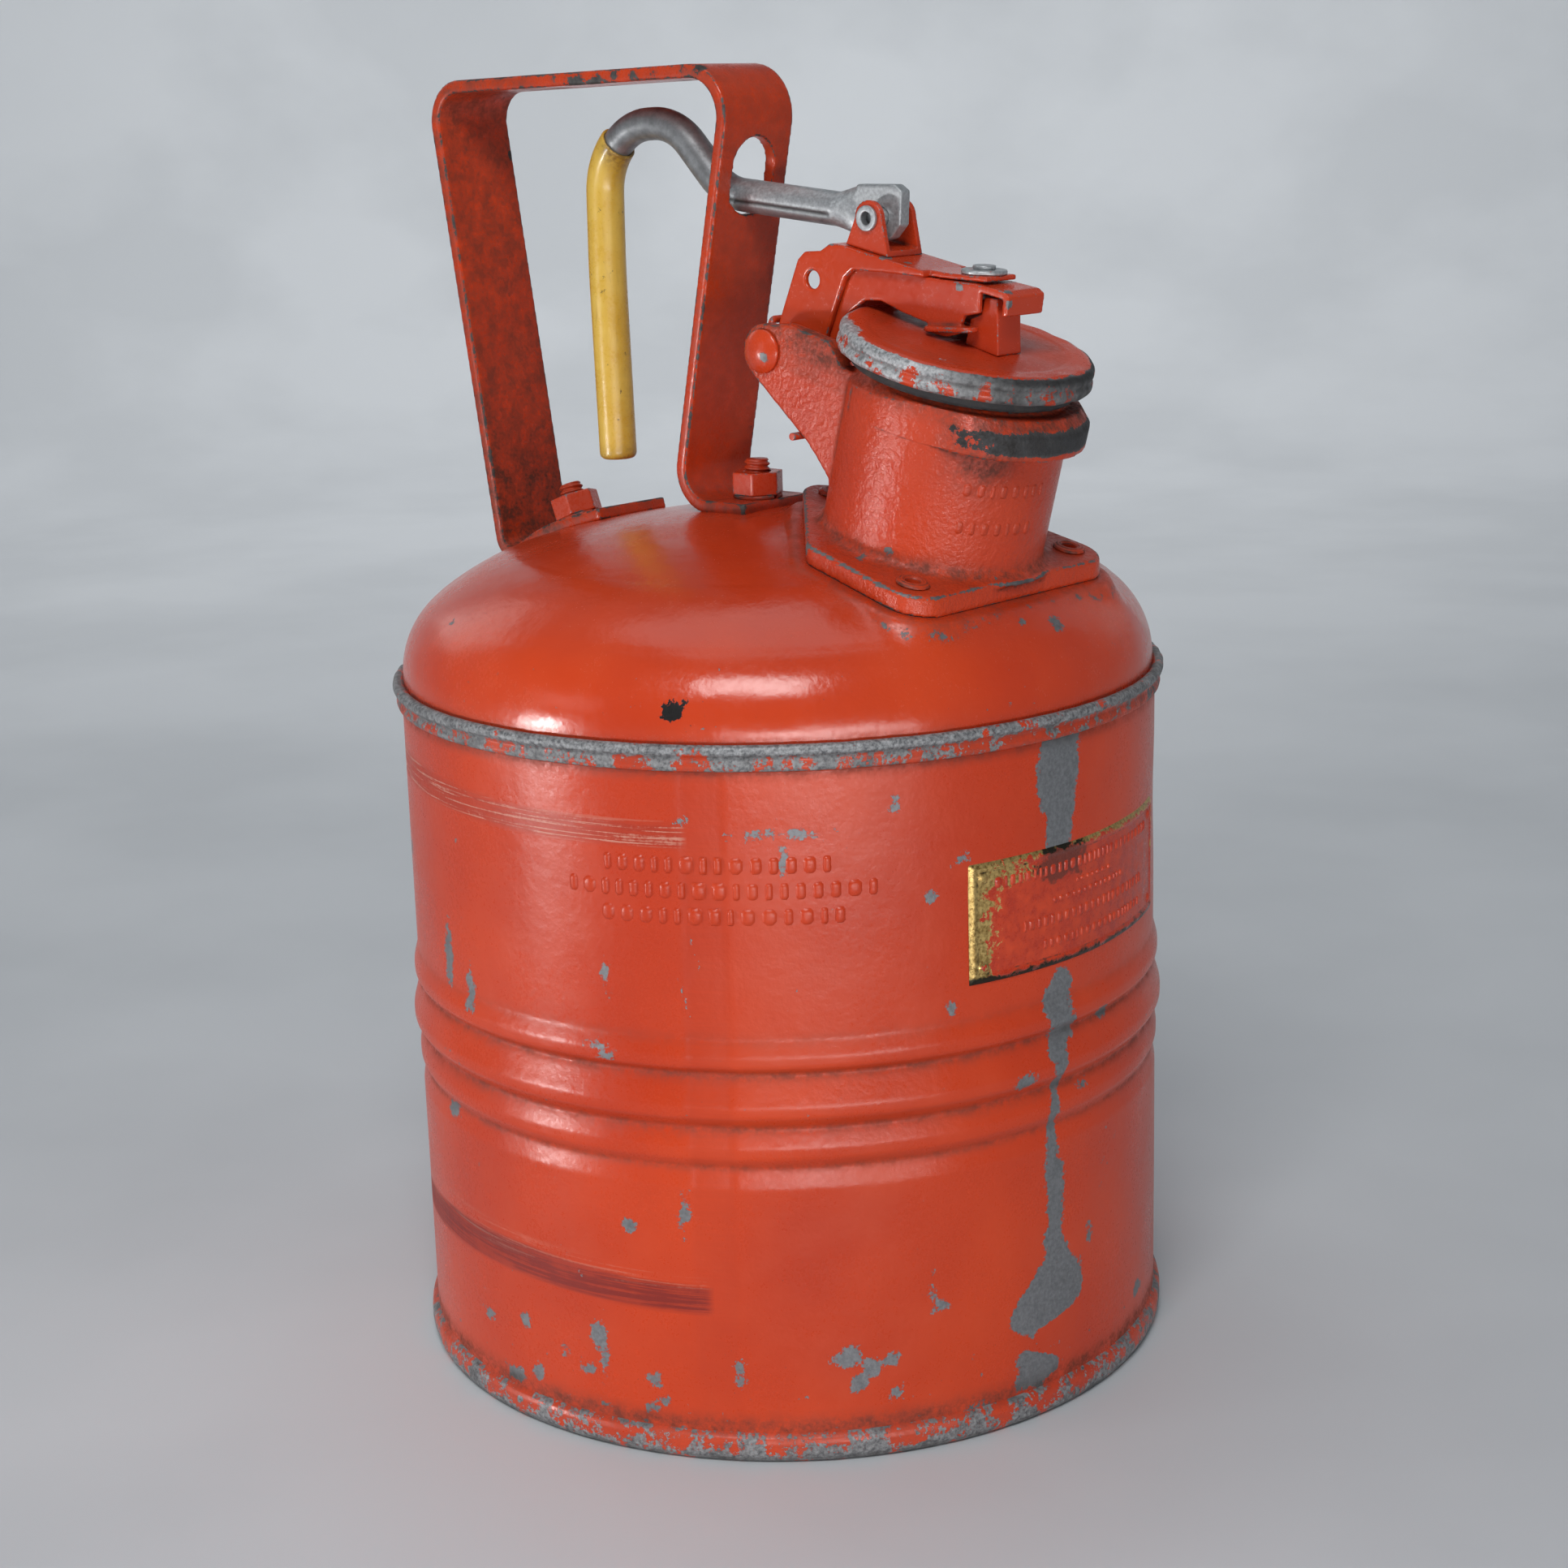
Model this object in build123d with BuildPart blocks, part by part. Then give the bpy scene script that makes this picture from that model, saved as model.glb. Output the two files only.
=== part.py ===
from build123d import *
from math import acos, asin, atan2, cos, degrees, hypot, radians, sin, sqrt
import os

os.makedirs("parts", exist_ok=True)

# A steel safety can for flammable liquid.  Millimetres, origin at the centre of the
# base, +Z up, +X towards the spout, Y across the handle strap.

# ---- driving dimensions: tank ----
body_radius = 92.2
sheet = 0.8
seam_z = 162.6
seam_height = 5.8
rim_radius = 94.4
rim_height = 6.4
pan_z = 4.0

# ---- dome: knuckle, shoulder and crown arcs, each tangent to the next ----
dome_radius = 90.8
dome_top_z = 205.0
crown_r = 230.0
shoulder_r = 60.0
knuckle_r = 21.0
knuckle_z = 169.5

# ---- spout: everything on it is square to one tilted axis ----
spout_tilt = 15.0
spout_x = 50.0
spout_z = 202.6
flange_thick = 4.6
gasket_thick = 0.9
neck_r = 25.7
bore_r = 21.5
neck_top = 38.4
lip_r = 27.6
lip_offset = 2.8
rivet_ring_r = 33.0
rivet_ring_x = 2.0

# ---- cap ----
cap_r = 29.0
cap_offset = -0.8
cap_low = 41.2
cap_high = 47.2
cap_sheet = 1.2

# ---- hinge and arms ----
pivot_x = 15.6
pivot_z = 245.6
pin_r = 2.6
running_fit = 0.05
ear_inner_y = 14.6
ear_outer_y = 18.6
outer_arm_y = 8.1
inner_arm_y = 6.5
arm_sheet = 1.4
clevis_x = 37.6
clevis_z = 275.2
clevis_y = 6.2

# ---- pull rod and grip ----
rod_r = 3.97
flat_half = 1.7
sleeve_r = 4.75

# ---- carrying handle ----
strap_thick = 3.2
strap_width = 23.8
front_stud_x = -4.9
rear_stud_tilt = 21.3
stud_r = 3.17
stud_play = 0.08
nut_flats = 11.1
nut_height = 5.5
lock_thick = 0.9


def write(node, name):
    node.part.label = name
    export_step(node.part, "parts/" + name + ".step")


# Centres and tangent points of the dome's three arcs, in the half plane (radius, z).
crown_c = (0.0, dome_top_z - crown_r)
knuckle_c = (dome_radius - knuckle_r, knuckle_z)
gap_x = knuckle_c[0] - crown_c[0]
gap_z = knuckle_c[1] - crown_c[1]
gap = hypot(gap_x, gap_z)
reach = ((crown_r - shoulder_r) ** 2 - (shoulder_r - knuckle_r) ** 2 + gap ** 2) / (2 * gap)
rise = sqrt((crown_r - shoulder_r) ** 2 - reach ** 2)
shoulder_c = (
    crown_c[0] + (reach * gap_x - rise * gap_z) / gap,
    crown_c[1] + (reach * gap_z + rise * gap_x) / gap,
)
crown_angle = degrees(atan2(shoulder_c[1] - crown_c[1], shoulder_c[0] - crown_c[0]))
shoulder_angle = degrees(atan2(knuckle_c[1] - shoulder_c[1], knuckle_c[0] - shoulder_c[0]))


def dome_face(inset, floor_z):
    """Half section of the dome's solid, inset from its outer surface."""
    with BuildSketch(Plane.XZ) as section:
        with BuildLine():
            crown = CenterArc(crown_c, crown_r - inset, crown_angle, 90 - crown_angle)
            shoulder = CenterArc(
                shoulder_c, shoulder_r - inset, shoulder_angle, crown_angle - shoulder_angle
            )
            knuckle = CenterArc(knuckle_c, knuckle_r - inset, 0, shoulder_angle)
            Polyline(crown @ 1, (0, floor_z), (dome_radius - inset, floor_z), knuckle @ 0)
        make_face()
    return section.sketch


# The spout's own axis and planes.
spout_normal = Vector(sin(radians(spout_tilt)), 0, cos(radians(spout_tilt)))
spout_across = Vector(cos(radians(spout_tilt)), 0, -sin(radians(spout_tilt)))
spout_origin = Vector(spout_x, 0, spout_z)
spout_axis = Axis(spout_origin, spout_normal)


def spout_plane(height, across=0.0):
    origin = spout_origin + spout_normal * height + spout_across * across
    return Plane(origin=origin, x_dir=spout_across, z_dir=spout_normal)


def spout_section(across=0.0):
    """Plane through the spout's axis: x is the radius and y the height along it."""
    return Plane(origin=spout_origin + spout_across * across, x_dir=spout_across, z_dir=(0, -1, 0))


def flange_outline(plane, grow=0.0):
    """Three lobes, one round each rivet, with fuller sides."""
    with BuildSketch(plane) as outline:
        with Locations((19.0, 27.5), (19.0, -27.5)):
            Circle(8.6 + grow)
        with Locations((-6.0, 28.6), (-6.0, -28.6)):
            Circle(5.0 + grow)
        with Locations((-30.0, 0)):
            Circle(7.6 + grow)
        make_hull()
    return outline.sketch


def rivet_places(plane):
    centre = plane * Pos(rivet_ring_x, 0, 0)
    return [centre * loc for loc in PolarLocations(rivet_ring_r, 3, start_angle=60).local_locations]


gasket_top = -flange_thick
pad_top = gasket_top - gasket_thick
pad_floor = pad_top - 1.0

# ======================= tank =======================

# Rolled wall with three swaged ridges; each slopes gently above and is sharp below.
ridges = [(101.5, 96.5, 93.6, 0.9), (92.4, 85.0, 80.9, 1.5), (79.4, 75.0, 71.5, 0.6)]


def wall_points(inset):
    points = [(body_radius - inset, seam_z)]
    for top, crown, bottom, proud in ridges:
        points.append((body_radius - inset, top))
        points.append((body_radius - inset + proud, crown + 1.2))
        points.append((body_radius - inset + proud, crown - 1.2))
        points.append((body_radius - inset - 0.5, bottom))
    points.append((body_radius + 0.5 - inset, bottom - 5))
    points.append((body_radius + 0.5 - inset, rim_height))
    return points


with BuildPart() as body_shell:
    with BuildSketch(Plane.XZ):
        with BuildLine():
            Polyline(*wall_points(0), *reversed(wall_points(sheet)), close=True)
        make_face()
    revolve(axis=Axis.Z)
write(body_shell, "body_shell")

# Rolled seam between the wall and the dome: a flat band with a bead along its top.
with BuildPart() as top_seam:
    with BuildSketch(Plane.XZ):
        with Locations((dome_radius + 1.35, seam_z + seam_height / 2)):
            RectangleRounded(2.7, seam_height, 1.1)
        with Locations((body_radius + 0.9, seam_z + seam_height - 1.3)):
            Circle(1.3)
    revolve(axis=Axis.Z)
write(top_seam, "top_seam")

# Curled foot that the can stands on.
with BuildPart() as bottom_rim:
    with BuildSketch(Plane.XZ):
        with Locations((rim_radius - 1.6, rim_height / 2)):
            RectangleRounded(3.2, rim_height, 1.3)
    revolve(axis=Axis.Z)
write(bottom_rim, "bottom_rim")

# Recessed bottom with its upturned edge inside the curled foot.
pan_r = rim_radius - 3.2
with BuildPart() as bottom_pan:
    with BuildSketch(Plane.XZ):
        with BuildLine():
            Polyline(
                (0, pan_z),
                (pan_r - 8, pan_z),
                (pan_r - 6, pan_z - 2.4),
                (pan_r, pan_z - 2.4),
                (pan_r, rim_height),
                (pan_r - sheet, rim_height),
                (pan_r - sheet, pan_z - 2.4 + sheet),
                (pan_r - 5.6, pan_z - 2.4 + sheet),
                (pan_r - 7.6, pan_z + sheet),
                (0, pan_z + sheet),
                close=True,
            )
        make_face()
    revolve(axis=Axis.Z)
write(bottom_pan, "bottom_pan")

# Hollow of the dome, with a flat shelf left under the spout.
with BuildPart() as dome_hollow:
    add(dome_face(sheet, seam_z - 1))
    revolve(axis=Axis.Z)
    add(flange_outline(spout_plane(pad_floor), 2.4))
    extrude(amount=30, mode=Mode.SUBTRACT)

with BuildPart() as dome_top:
    add(dome_face(0, seam_z))
    revolve(axis=Axis.Z)
    add(flange_outline(spout_plane(pad_top), 1.4))
    extrude(amount=-7, taper=-35)
    add(flange_outline(spout_plane(pad_top), 1.4))
    extrude(amount=30, mode=Mode.SUBTRACT)
    add(dome_hollow.part, mode=Mode.SUBTRACT)
    with BuildSketch(spout_plane(pad_floor - 12)):
        Circle(bore_r)
    extrude(amount=24, mode=Mode.SUBTRACT)
    with Locations(*rivet_places(spout_plane(pad_top))):
        Cylinder(2.4, 12, mode=Mode.SUBTRACT)
    with Locations(*rivet_places(spout_plane(pad_floor))):
        Cylinder(4.2, 12, align=(Align.CENTER, Align.CENTER, Align.MAX), mode=Mode.SUBTRACT)
write(dome_top, "dome_top")

# Brass plate, bent to the wall, with a raised border.
plate_from = -21.0
plate_sweep = 47.0
plate_low = 109.7
plate_high = 137.6
plate_r = body_radius + 0.05
with BuildPart() as name_plate:
    with BuildSketch(Plane.XZ):
        with Locations((plate_r + 0.3, (plate_low + plate_high) / 2)):
            Rectangle(0.6, plate_high - plate_low)
        with Locations((plate_r + 0.45, plate_low + 0.6), (plate_r + 0.45, plate_high - 0.6)):
            Rectangle(0.9, 1.2)
    revolve(axis=Axis.Z, revolution_arc=plate_sweep)
name_plate.part = name_plate.part.rotate(Axis.Z, plate_from)
write(name_plate, "name_plate")

# ======================= spout =======================

ear_low = [(34.9, 213.5), (34.6, 217.5), (31.0, 222.3), (28.4, 225.4), (11.7, 240.4)]
ear_high = [(17.6, 251.6), (23.0, 252.0), (35.4, 248.6), (39.4, 243.0), (50.0, 240.0), (46.0, 214.0)]

with BuildPart() as spout_casting:
    add(flange_outline(spout_plane(-flange_thick)))
    extrude(amount=flange_thick)
    fillet(spout_casting.faces().sort_by(spout_axis)[-1].edges(), 1.0)
    with BuildSketch(spout_section()):
        with BuildLine():
            foot = Line((0, -1), (neck_r + 2.6, -1))
            toe = Line(foot @ 1, (neck_r + 2.6, 0))
            root = RadiusArc(toe @ 1, (neck_r, 2.6), 2.6)
            Polyline(
                root @ 1,
                (neck_r, neck_top - 4.4),
                (bore_r + 3.0, neck_top - 2.0),
                (bore_r + 2.2, neck_top),
                (0, neck_top),
                foot @ 0,
            )
        make_face()
    revolve(axis=spout_axis)
    # Pouring lip: a disc set forward of the neck, so it stands proud only in front.
    with BuildSketch(spout_plane(neck_top - 9.4, lip_offset)):
        Circle(lip_r)
    extrude(amount=5.2)
    with BuildSketch(spout_plane(neck_top - 4.2, lip_offset)):
        Circle(lip_r)
    extrude(amount=3.4, taper=40)
    # Two ears that run back to the hinge.
    for y in (ear_inner_y, -ear_outer_y):
        with BuildSketch(Plane.XZ.offset(-y)):
            with BuildLine():
                Polyline(*ear_low, *ear_high, close=True)
            make_face()
            with Locations((pivot_x, pivot_z)):
                Circle(6.3)
        extrude(amount=-(ear_outer_y - ear_inner_y))
    with BuildSketch(spout_plane(-flange_thick - 1)):
        Circle(bore_r)
    extrude(amount=neck_top + flange_thick + 2, mode=Mode.SUBTRACT)
    with Locations(Pos(pivot_x, 0, pivot_z) * Rot(90, 0, 0)):
        Cylinder(pin_r + running_fit, 60, mode=Mode.SUBTRACT)
    with Locations(*rivet_places(spout_plane(-flange_thick / 2))):
        Cylinder(2.4, flange_thick + 2, mode=Mode.SUBTRACT)
    with Locations(*rivet_places(spout_plane(0))):
        Cylinder(4.2, 4, align=(Align.CENTER, Align.CENTER, Align.MIN), mode=Mode.SUBTRACT)
write(spout_casting, "spout_casting")

with BuildPart() as spout_gasket:
    add(flange_outline(spout_plane(pad_top), -0.3))
    extrude(amount=gasket_thick)
    with BuildSketch(spout_plane(pad_top - 1)):
        Circle(bore_r)
    extrude(amount=gasket_thick + 2, mode=Mode.SUBTRACT)
    with Locations(*rivet_places(spout_plane(pad_top))):
        Cylinder(2.4, 6, mode=Mode.SUBTRACT)
write(spout_gasket, "spout_gasket")

# Three tubular rivets, rolled over at both ends.
with BuildPart() as flange_rivets:
    for place in rivet_places(spout_plane(0)):
        with Locations(place):
            Cylinder(4.0, 0.9, align=(Align.CENTER, Align.CENTER, Align.MIN))
            Cylinder(2.4, -pad_floor, align=(Align.CENTER, Align.CENTER, Align.MAX))
        with Locations(place * Pos(0, 0, pad_floor)):
            Cylinder(4.0, 0.9, align=(Align.CENTER, Align.CENTER, Align.MAX))
        with Locations(place * Pos(0, 0, 1.0)):
            Cylinder(1.7, 4.5, align=(Align.CENTER, Align.CENTER, Align.MAX), mode=Mode.SUBTRACT)
write(flange_rivets, "flange_rivets")

# Perforated flame arrester hanging from the throat into the tank.
arrester_r = 17.5
arrester_length = 34.0
with BuildPart() as flame_arrester:
    with BuildSketch(spout_section()):
        with BuildLine():
            Polyline(
                (bore_r - 0.1, -1.5),
                (bore_r - 0.1, -2.4),
                (arrester_r, -2.4),
                (arrester_r, -arrester_length),
                (0, -arrester_length),
                (0, -arrester_length + 0.9),
                (arrester_r - 0.9, -arrester_length + 0.9),
                (arrester_r - 0.9, -1.5),
                close=True,
            )
        make_face()
    revolve(axis=spout_axis)
    for row in range(4):
        ring = spout_plane(-9 - 6.4 * row)
        for turn in range(6):
            with Locations(Location(ring) * Rot(0, 0, 30 * turn + 15 * (row % 2)) * Rot(0, 90, 0)):
                Cylinder(1.8, 60, mode=Mode.SUBTRACT)
write(flame_arrester, "flame_arrester")

# ======================= cap =======================

with BuildPart() as cap_shell:
    with BuildSketch(spout_section(cap_offset)):
        with BuildLine():
            Polyline(
                (0, cap_high),
                (cap_r - 1.6, cap_high - 0.1),
                (cap_r, cap_high - 1.5),
                (cap_r + 0.2, cap_low + 0.8),
                (cap_r - 0.6, cap_low),
                (cap_r - 2.0, cap_low),
                (cap_r - 2.0, cap_high - cap_sheet - 0.6),
                (0, cap_high - cap_sheet),
                close=True,
            )
        make_face()
    revolve(axis=Axis(spout_origin + spout_across * cap_offset, spout_normal))
    with BuildSketch(spout_plane(cap_high - 4, 5.0)):
        Circle(1.6)
    extrude(amount=8, mode=Mode.SUBTRACT)
write(cap_shell, "cap_shell")

seal_low = neck_top + 0.4
seal_high = cap_high - cap_sheet - 0.8
with BuildPart() as cap_gasket:
    with BuildSketch(spout_section(cap_offset)):
        with BuildLine():
            Polyline(
                (0, seal_low + 1.0),
                (18.4, seal_low + 1.0),
                (18.4, seal_low),
                (25.6, seal_low),
                (26.0, seal_low + 0.6),
                (26.0, seal_high),
                (0, seal_high),
                close=True,
            )
        make_face()
    revolve(axis=Axis(spout_origin + spout_across * cap_offset, spout_normal))
    with BuildSketch(spout_plane(seal_low - 2, 5.0)):
        Circle(1.6)
    extrude(amount=14, mode=Mode.SUBTRACT)
write(cap_gasket, "cap_gasket")

with BuildPart() as cap_retainer:
    with BuildSketch(spout_plane(seal_low, cap_offset)):
        Circle(17.6)
    extrude(amount=1.0)
    with BuildSketch(spout_plane(seal_low - 2, 5.0)):
        Circle(1.6)
    extrude(amount=4, mode=Mode.SUBTRACT)
write(cap_retainer, "cap_retainer")

# Folded post that ties the cap to the arm, with its own rivet through the cap.
post_across = 5.0
post_half_y = 4.2
with BuildPart() as cap_post:
    with BuildSketch(Plane.XZ.offset(-post_half_y)):
        with BuildLine():
            low_rear = spout_origin + spout_normal * cap_high + spout_across * 1.6
            low_front = spout_origin + spout_normal * cap_high + spout_across * 11.2
            Polyline(
                (low_rear.X, low_rear.Z),
                (low_front.X, low_front.Z),
                (73.0, 258.0),
                (69.4, 258.2),
                (68.4, 254.6),
                (65.4, 253.6),
                close=True,
            )
        make_face()
    extrude(amount=2 * post_half_y)
    with BuildSketch(Plane.XZ.offset(-post_half_y + 1.2)):
        with BuildLine():
            Polyline((66.6, 249.4), (71.4, 248.6), (71.6, 262.0), (60.0, 262.0), (62.0, 251.0), close=True)
        make_face()
    extrude(amount=2 * post_half_y - 2.4, mode=Mode.SUBTRACT)
    with BuildSketch(spout_plane(seal_low - 0.9, post_across)):
        Circle(1.55)
    extrude(amount=cap_high - seal_low + 1.4)
    with BuildSketch(spout_plane(seal_low - 0.9, post_across)):
        Circle(3.4)
    extrude(amount=0.9)
write(cap_post, "cap_post")

# ======================= arms =======================

outer_side = [
    (24.0, 244.6),
    (29.3, 256.4),
    (31.9, 261.9),
    (34.2, 263.7),
    (43.3, 263.3),
    (55.0, 262.5),
    (55.0, 263.9),
    (31.0, 269.2),
    (27.4, 269.6),
    (24.4, 267.9),
    (19.6, 267.7),
    (17.4, 265.9),
    (10.4, 250.0),
]
inner_side = [
    (24.2, 242.6),
    (27.3, 247.8),
    (30.4, 253.2),
    (36.3, 256.8),
    (41.1, 256.9),
    (47.4, 254.5),
    (55.2, 252.2),
    (53.3, 250.9),
    (55.6, 250.2),
    (60.0, 249.4),
    (63.6, 250.2),
    (65.2, 254.1),
    (69.6, 254.9),
    (70.0, 259.8),
    (63.1, 261.4),
    (55.0, 262.4),
    (44.5, 264.6),
    (31.0, 267.6),
    (26.6, 264.6),
    (19.6, 253.6),
    (13.0, 251.2),
]

rivet_tilt = Pos(66.0, 0, 263.05) * Rot(0, 4, 0)

# Outer arm: a channel on the hinge pin whose top narrows to a tongue under the washer.
with BuildPart() as outer_arm:
    for y in (outer_arm_y - arm_sheet, -outer_arm_y):
        with BuildSketch(Plane.XZ.offset(-y)):
            with BuildLine():
                Polyline(*outer_side, close=True)
            make_face()
            with Locations((pivot_x, pivot_z)):
                Circle(6.0)
            with Locations((21.9, 261.3)):
                Circle(2.1, mode=Mode.SUBTRACT)
        extrude(amount=-arm_sheet)
    with BuildSketch(Plane.XZ.offset(-outer_arm_y)):
        with BuildLine():
            Polyline(
                (25.2, 267.9),
                (27.4, 269.6),
                (31.0, 269.2),
                (55.0, 263.9),
                (55.0, 262.5),
                (30.8, 267.8),
                (27.8, 268.1),
                (26.0, 266.8),
                close=True,
            )
        make_face()
    extrude(amount=2 * outer_arm_y)
    with BuildSketch(Plane.XZ.offset(-5.4)):
        with BuildLine():
            Polyline((54, 264.1), (58, 263.5), (71, 262.7), (70.9, 261.5), (58, 262.2), (54, 262.7), close=True)
        make_face()
    extrude(amount=10.8)
    with Locations(Pos(pivot_x, 0, pivot_z) * Rot(90, 0, 0)):
        Cylinder(pin_r + running_fit, 40, mode=Mode.SUBTRACT)
    with Locations(rivet_tilt):
        Cylinder(1.6, 12, mode=Mode.SUBTRACT)
write(outer_arm, "outer_arm")

# Inner arm: nested in the outer one, arched over the cap's rim, with a down-turned front.
with BuildPart() as inner_arm:
    for y in (inner_arm_y - arm_sheet, -inner_arm_y):
        with BuildSketch(Plane.XZ.offset(-y)):
            with BuildLine():
                Polyline(*inner_side, close=True)
            make_face()
            with Locations((pivot_x, pivot_z)):
                Circle(6.0)
        extrude(amount=-arm_sheet)
    with BuildSketch(Plane.XZ.offset(-inner_arm_y)):
        with BuildLine():
            Polyline(
                (31.0, 267.6),
                (44.5, 264.6),
                (55.0, 262.3),
                (58.0, 262.0),
                (68.0, 261.3),
                (76.4, 259.8),
                (78.0, 258.6),
                (77.2, 254.2),
                (75.8, 254.4),
                (76.2, 258.0),
                (68.0, 259.8),
                (58.0, 260.6),
                (44.5, 263.2),
                (31.0, 266.2),
                close=True,
            )
        make_face()
    extrude(amount=2 * inner_arm_y)
    # Each side plate turns out into a short tab above the cap.
    with BuildSketch(Plane.XY.offset(250.7)):
        with Locations((62.0, 6.9), (62.0, -6.9)):
            SlotOverall(14.0, 5.2)
    extrude(amount=1.2)
    with Locations(Pos(pivot_x, 0, pivot_z) * Rot(90, 0, 0)):
        Cylinder(pin_r + running_fit, 40, mode=Mode.SUBTRACT)
    with Locations(rivet_tilt):
        Cylinder(1.6, 12, mode=Mode.SUBTRACT)
write(inner_arm, "inner_arm")

with BuildPart() as arm_washer:
    with Locations(rivet_tilt):
        Cylinder(5.2, 1.0, align=(Align.CENTER, Align.CENTER, Align.MIN))
        Cylinder(1.62, 4, mode=Mode.SUBTRACT)
    fillet(arm_washer.edges().filter_by(GeomType.CIRCLE).group_by(SortBy.RADIUS)[-1], 0.3)
write(arm_washer, "arm_washer")

with BuildPart() as arm_rivet:
    with Locations(rivet_tilt):
        Cylinder(1.55, 5.6, align=(Align.CENTER, Align.CENTER, Align.MAX))
    with Locations(rivet_tilt * Pos(0, 0, 1.0)):
        Cylinder(2.6, 0.9, align=(Align.CENTER, Align.CENTER, Align.MIN))
        Cylinder(1.55, 1.2, align=(Align.CENTER, Align.CENTER, Align.MAX))
    with Locations(rivet_tilt * Pos(0, 0, -3.4)):
        Cylinder(2.8, 1.0, align=(Align.CENTER, Align.CENTER, Align.MAX))
write(arm_rivet, "arm_rivet")

# Clevis standing on the outer arm, and its tubular rivet.
with BuildPart() as clevis:
    with BuildSketch(Plane.XZ.offset(-clevis_y)):
        with BuildLine():
            Polyline((30.6, 269.35), (43.4, 266.5), (43.4, 280), (30.6, 280), close=True)
        make_face()
    extrude(amount=2 * clevis_y)
    with BuildSketch(Plane.XZ.offset(-clevis_y)):
        with Locations((clevis_x, clevis_z)):
            Circle(40)
            Circle(4.0, mode=Mode.SUBTRACT)
        with BuildLine():
            Polyline((26, 262), (49, 262), (43.4, 266), (41.6, 275.2), (33.6, 275.2), (30.6, 269), close=True)
        make_face(mode=Mode.SUBTRACT)
    extrude(amount=2 * clevis_y, mode=Mode.SUBTRACT)
    with BuildSketch(Plane.XZ.offset(-clevis_y + arm_sheet)):
        with BuildLine():
            Polyline((20, 273.0), (60, 264.1), (60, 300), (20, 300), close=True)
        make_face()
    extrude(amount=2 * clevis_y - 2 * arm_sheet, mode=Mode.SUBTRACT)
    with Locations(Pos(clevis_x, 0, clevis_z) * Rot(90, 0, 0)):
        Cylinder(2.2, 30, mode=Mode.SUBTRACT)
write(clevis, "clevis")

with BuildPart() as clevis_rivet:
    with Locations(Pos(clevis_x, 0, clevis_z) * Rot(90, 0, 0)):
        Cylinder(2.15, 2 * clevis_y)
    for side in (-1, 1):
        with Locations(Pos(clevis_x, side * (clevis_y + 0.45), clevis_z) * Rot(90, 0, 0)):
            Cylinder(2.9, 0.9)
        with Locations(Pos(clevis_x, side * (clevis_y + 0.9), clevis_z) * Rot(90, 0, 0)):
            Cylinder(1.5, 5.0, mode=Mode.SUBTRACT)
write(clevis_rivet, "clevis_rivet")

# Hinge pin with a domed head at each end.
head_y = ear_outer_y + 0.1
head_r = 5.1
head_dome = 8.5
head_half = degrees(asin(head_r / head_dome))
with BuildPart() as pivot_pin:
    with BuildSketch(Plane(origin=(pivot_x, 0, pivot_z), x_dir=(1, 0, 0), z_dir=(0, 0, 1))):
        with BuildLine():
            bow = CenterArc((0, head_y + 2.4 - head_dome), head_dome, 90 - head_half, head_half)
            Polyline(bow @ 1, (0, 0), (pin_r, 0), (pin_r, head_y), (head_r, head_y), bow @ 0)
        make_face()
    revolve(axis=Axis((pivot_x, 0, pivot_z), (0, 1, 0)))
    mirror(about=Plane.XZ)
write(pivot_pin, "pivot_pin")

# Torsion spring round the hinge pin.  One leg hooks out under the near ear's lower
# edge; the other bears on the arms' rear edge and moves with them.
wire_r = 0.9
coil_r = 5.0
coil_pitch = 1.85
coil_turns = 2.25
coil_y = -13.55
hook_x = 25.3
hook_z = 226.6
hook_reach = hypot(hook_x - pivot_x, hook_z - pivot_z)
coil_angle = atan2(hook_z - pivot_z, hook_x - pivot_x) + acos(coil_r / hook_reach)
coil_start = Plane(
    origin=(pivot_x, coil_y, pivot_z),
    x_dir=(cos(coil_angle), 0, sin(coil_angle)),
    z_dir=(0, 1, 0),
)
coil = Location(coil_start) * Helix(coil_pitch, coil_pitch * coil_turns, coil_r, lefthand=True)
with BuildPart() as closing_spring:
    with BuildSketch(Plane(origin=coil @ 0, z_dir=coil % 0)):
        Circle(wire_r)
    sweep(path=coil)
    leave = coil @ 0
    with BuildLine() as leg_path:
        FilletPolyline(
            (leave.X, leave.Y, leave.Z),
            (hook_x, coil_y, hook_z),
            (hook_x, -ear_outer_y - 1.6, hook_z),
            radius=1.4,
        )
    with BuildSketch(Plane(origin=leg_path.line @ 0, z_dir=leg_path.line % 0)):
        Circle(wire_r)
    sweep(path=leg_path.line)
write(closing_spring, "closing_spring")

tang_y = -9.05
with BuildPart() as spring_tang:
    with BuildLine() as tang_path:
        FilletPolyline((10.0, tang_y, 248.2), (9.6, tang_y, 251.9), (9.6, -4.6, 251.9), radius=1.3)
    with BuildSketch(Plane(origin=tang_path.line @ 0, z_dir=tang_path.line % 0)):
        Circle(wire_r)
    sweep(path=tang_path.line)
write(spring_tang, "spring_tang")

# ======================= pull rod =======================

rod_route = [
    (24.0, 276.9),
    (-12.4, 280.7),
    (-28.6, 297.3),
    (-53.9, 296.6),
    (-54.6, 262.0),
    (-53.5, 216.2),
]
rod_bends = [16.0, 16.5, 17.0, 200.0]

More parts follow.
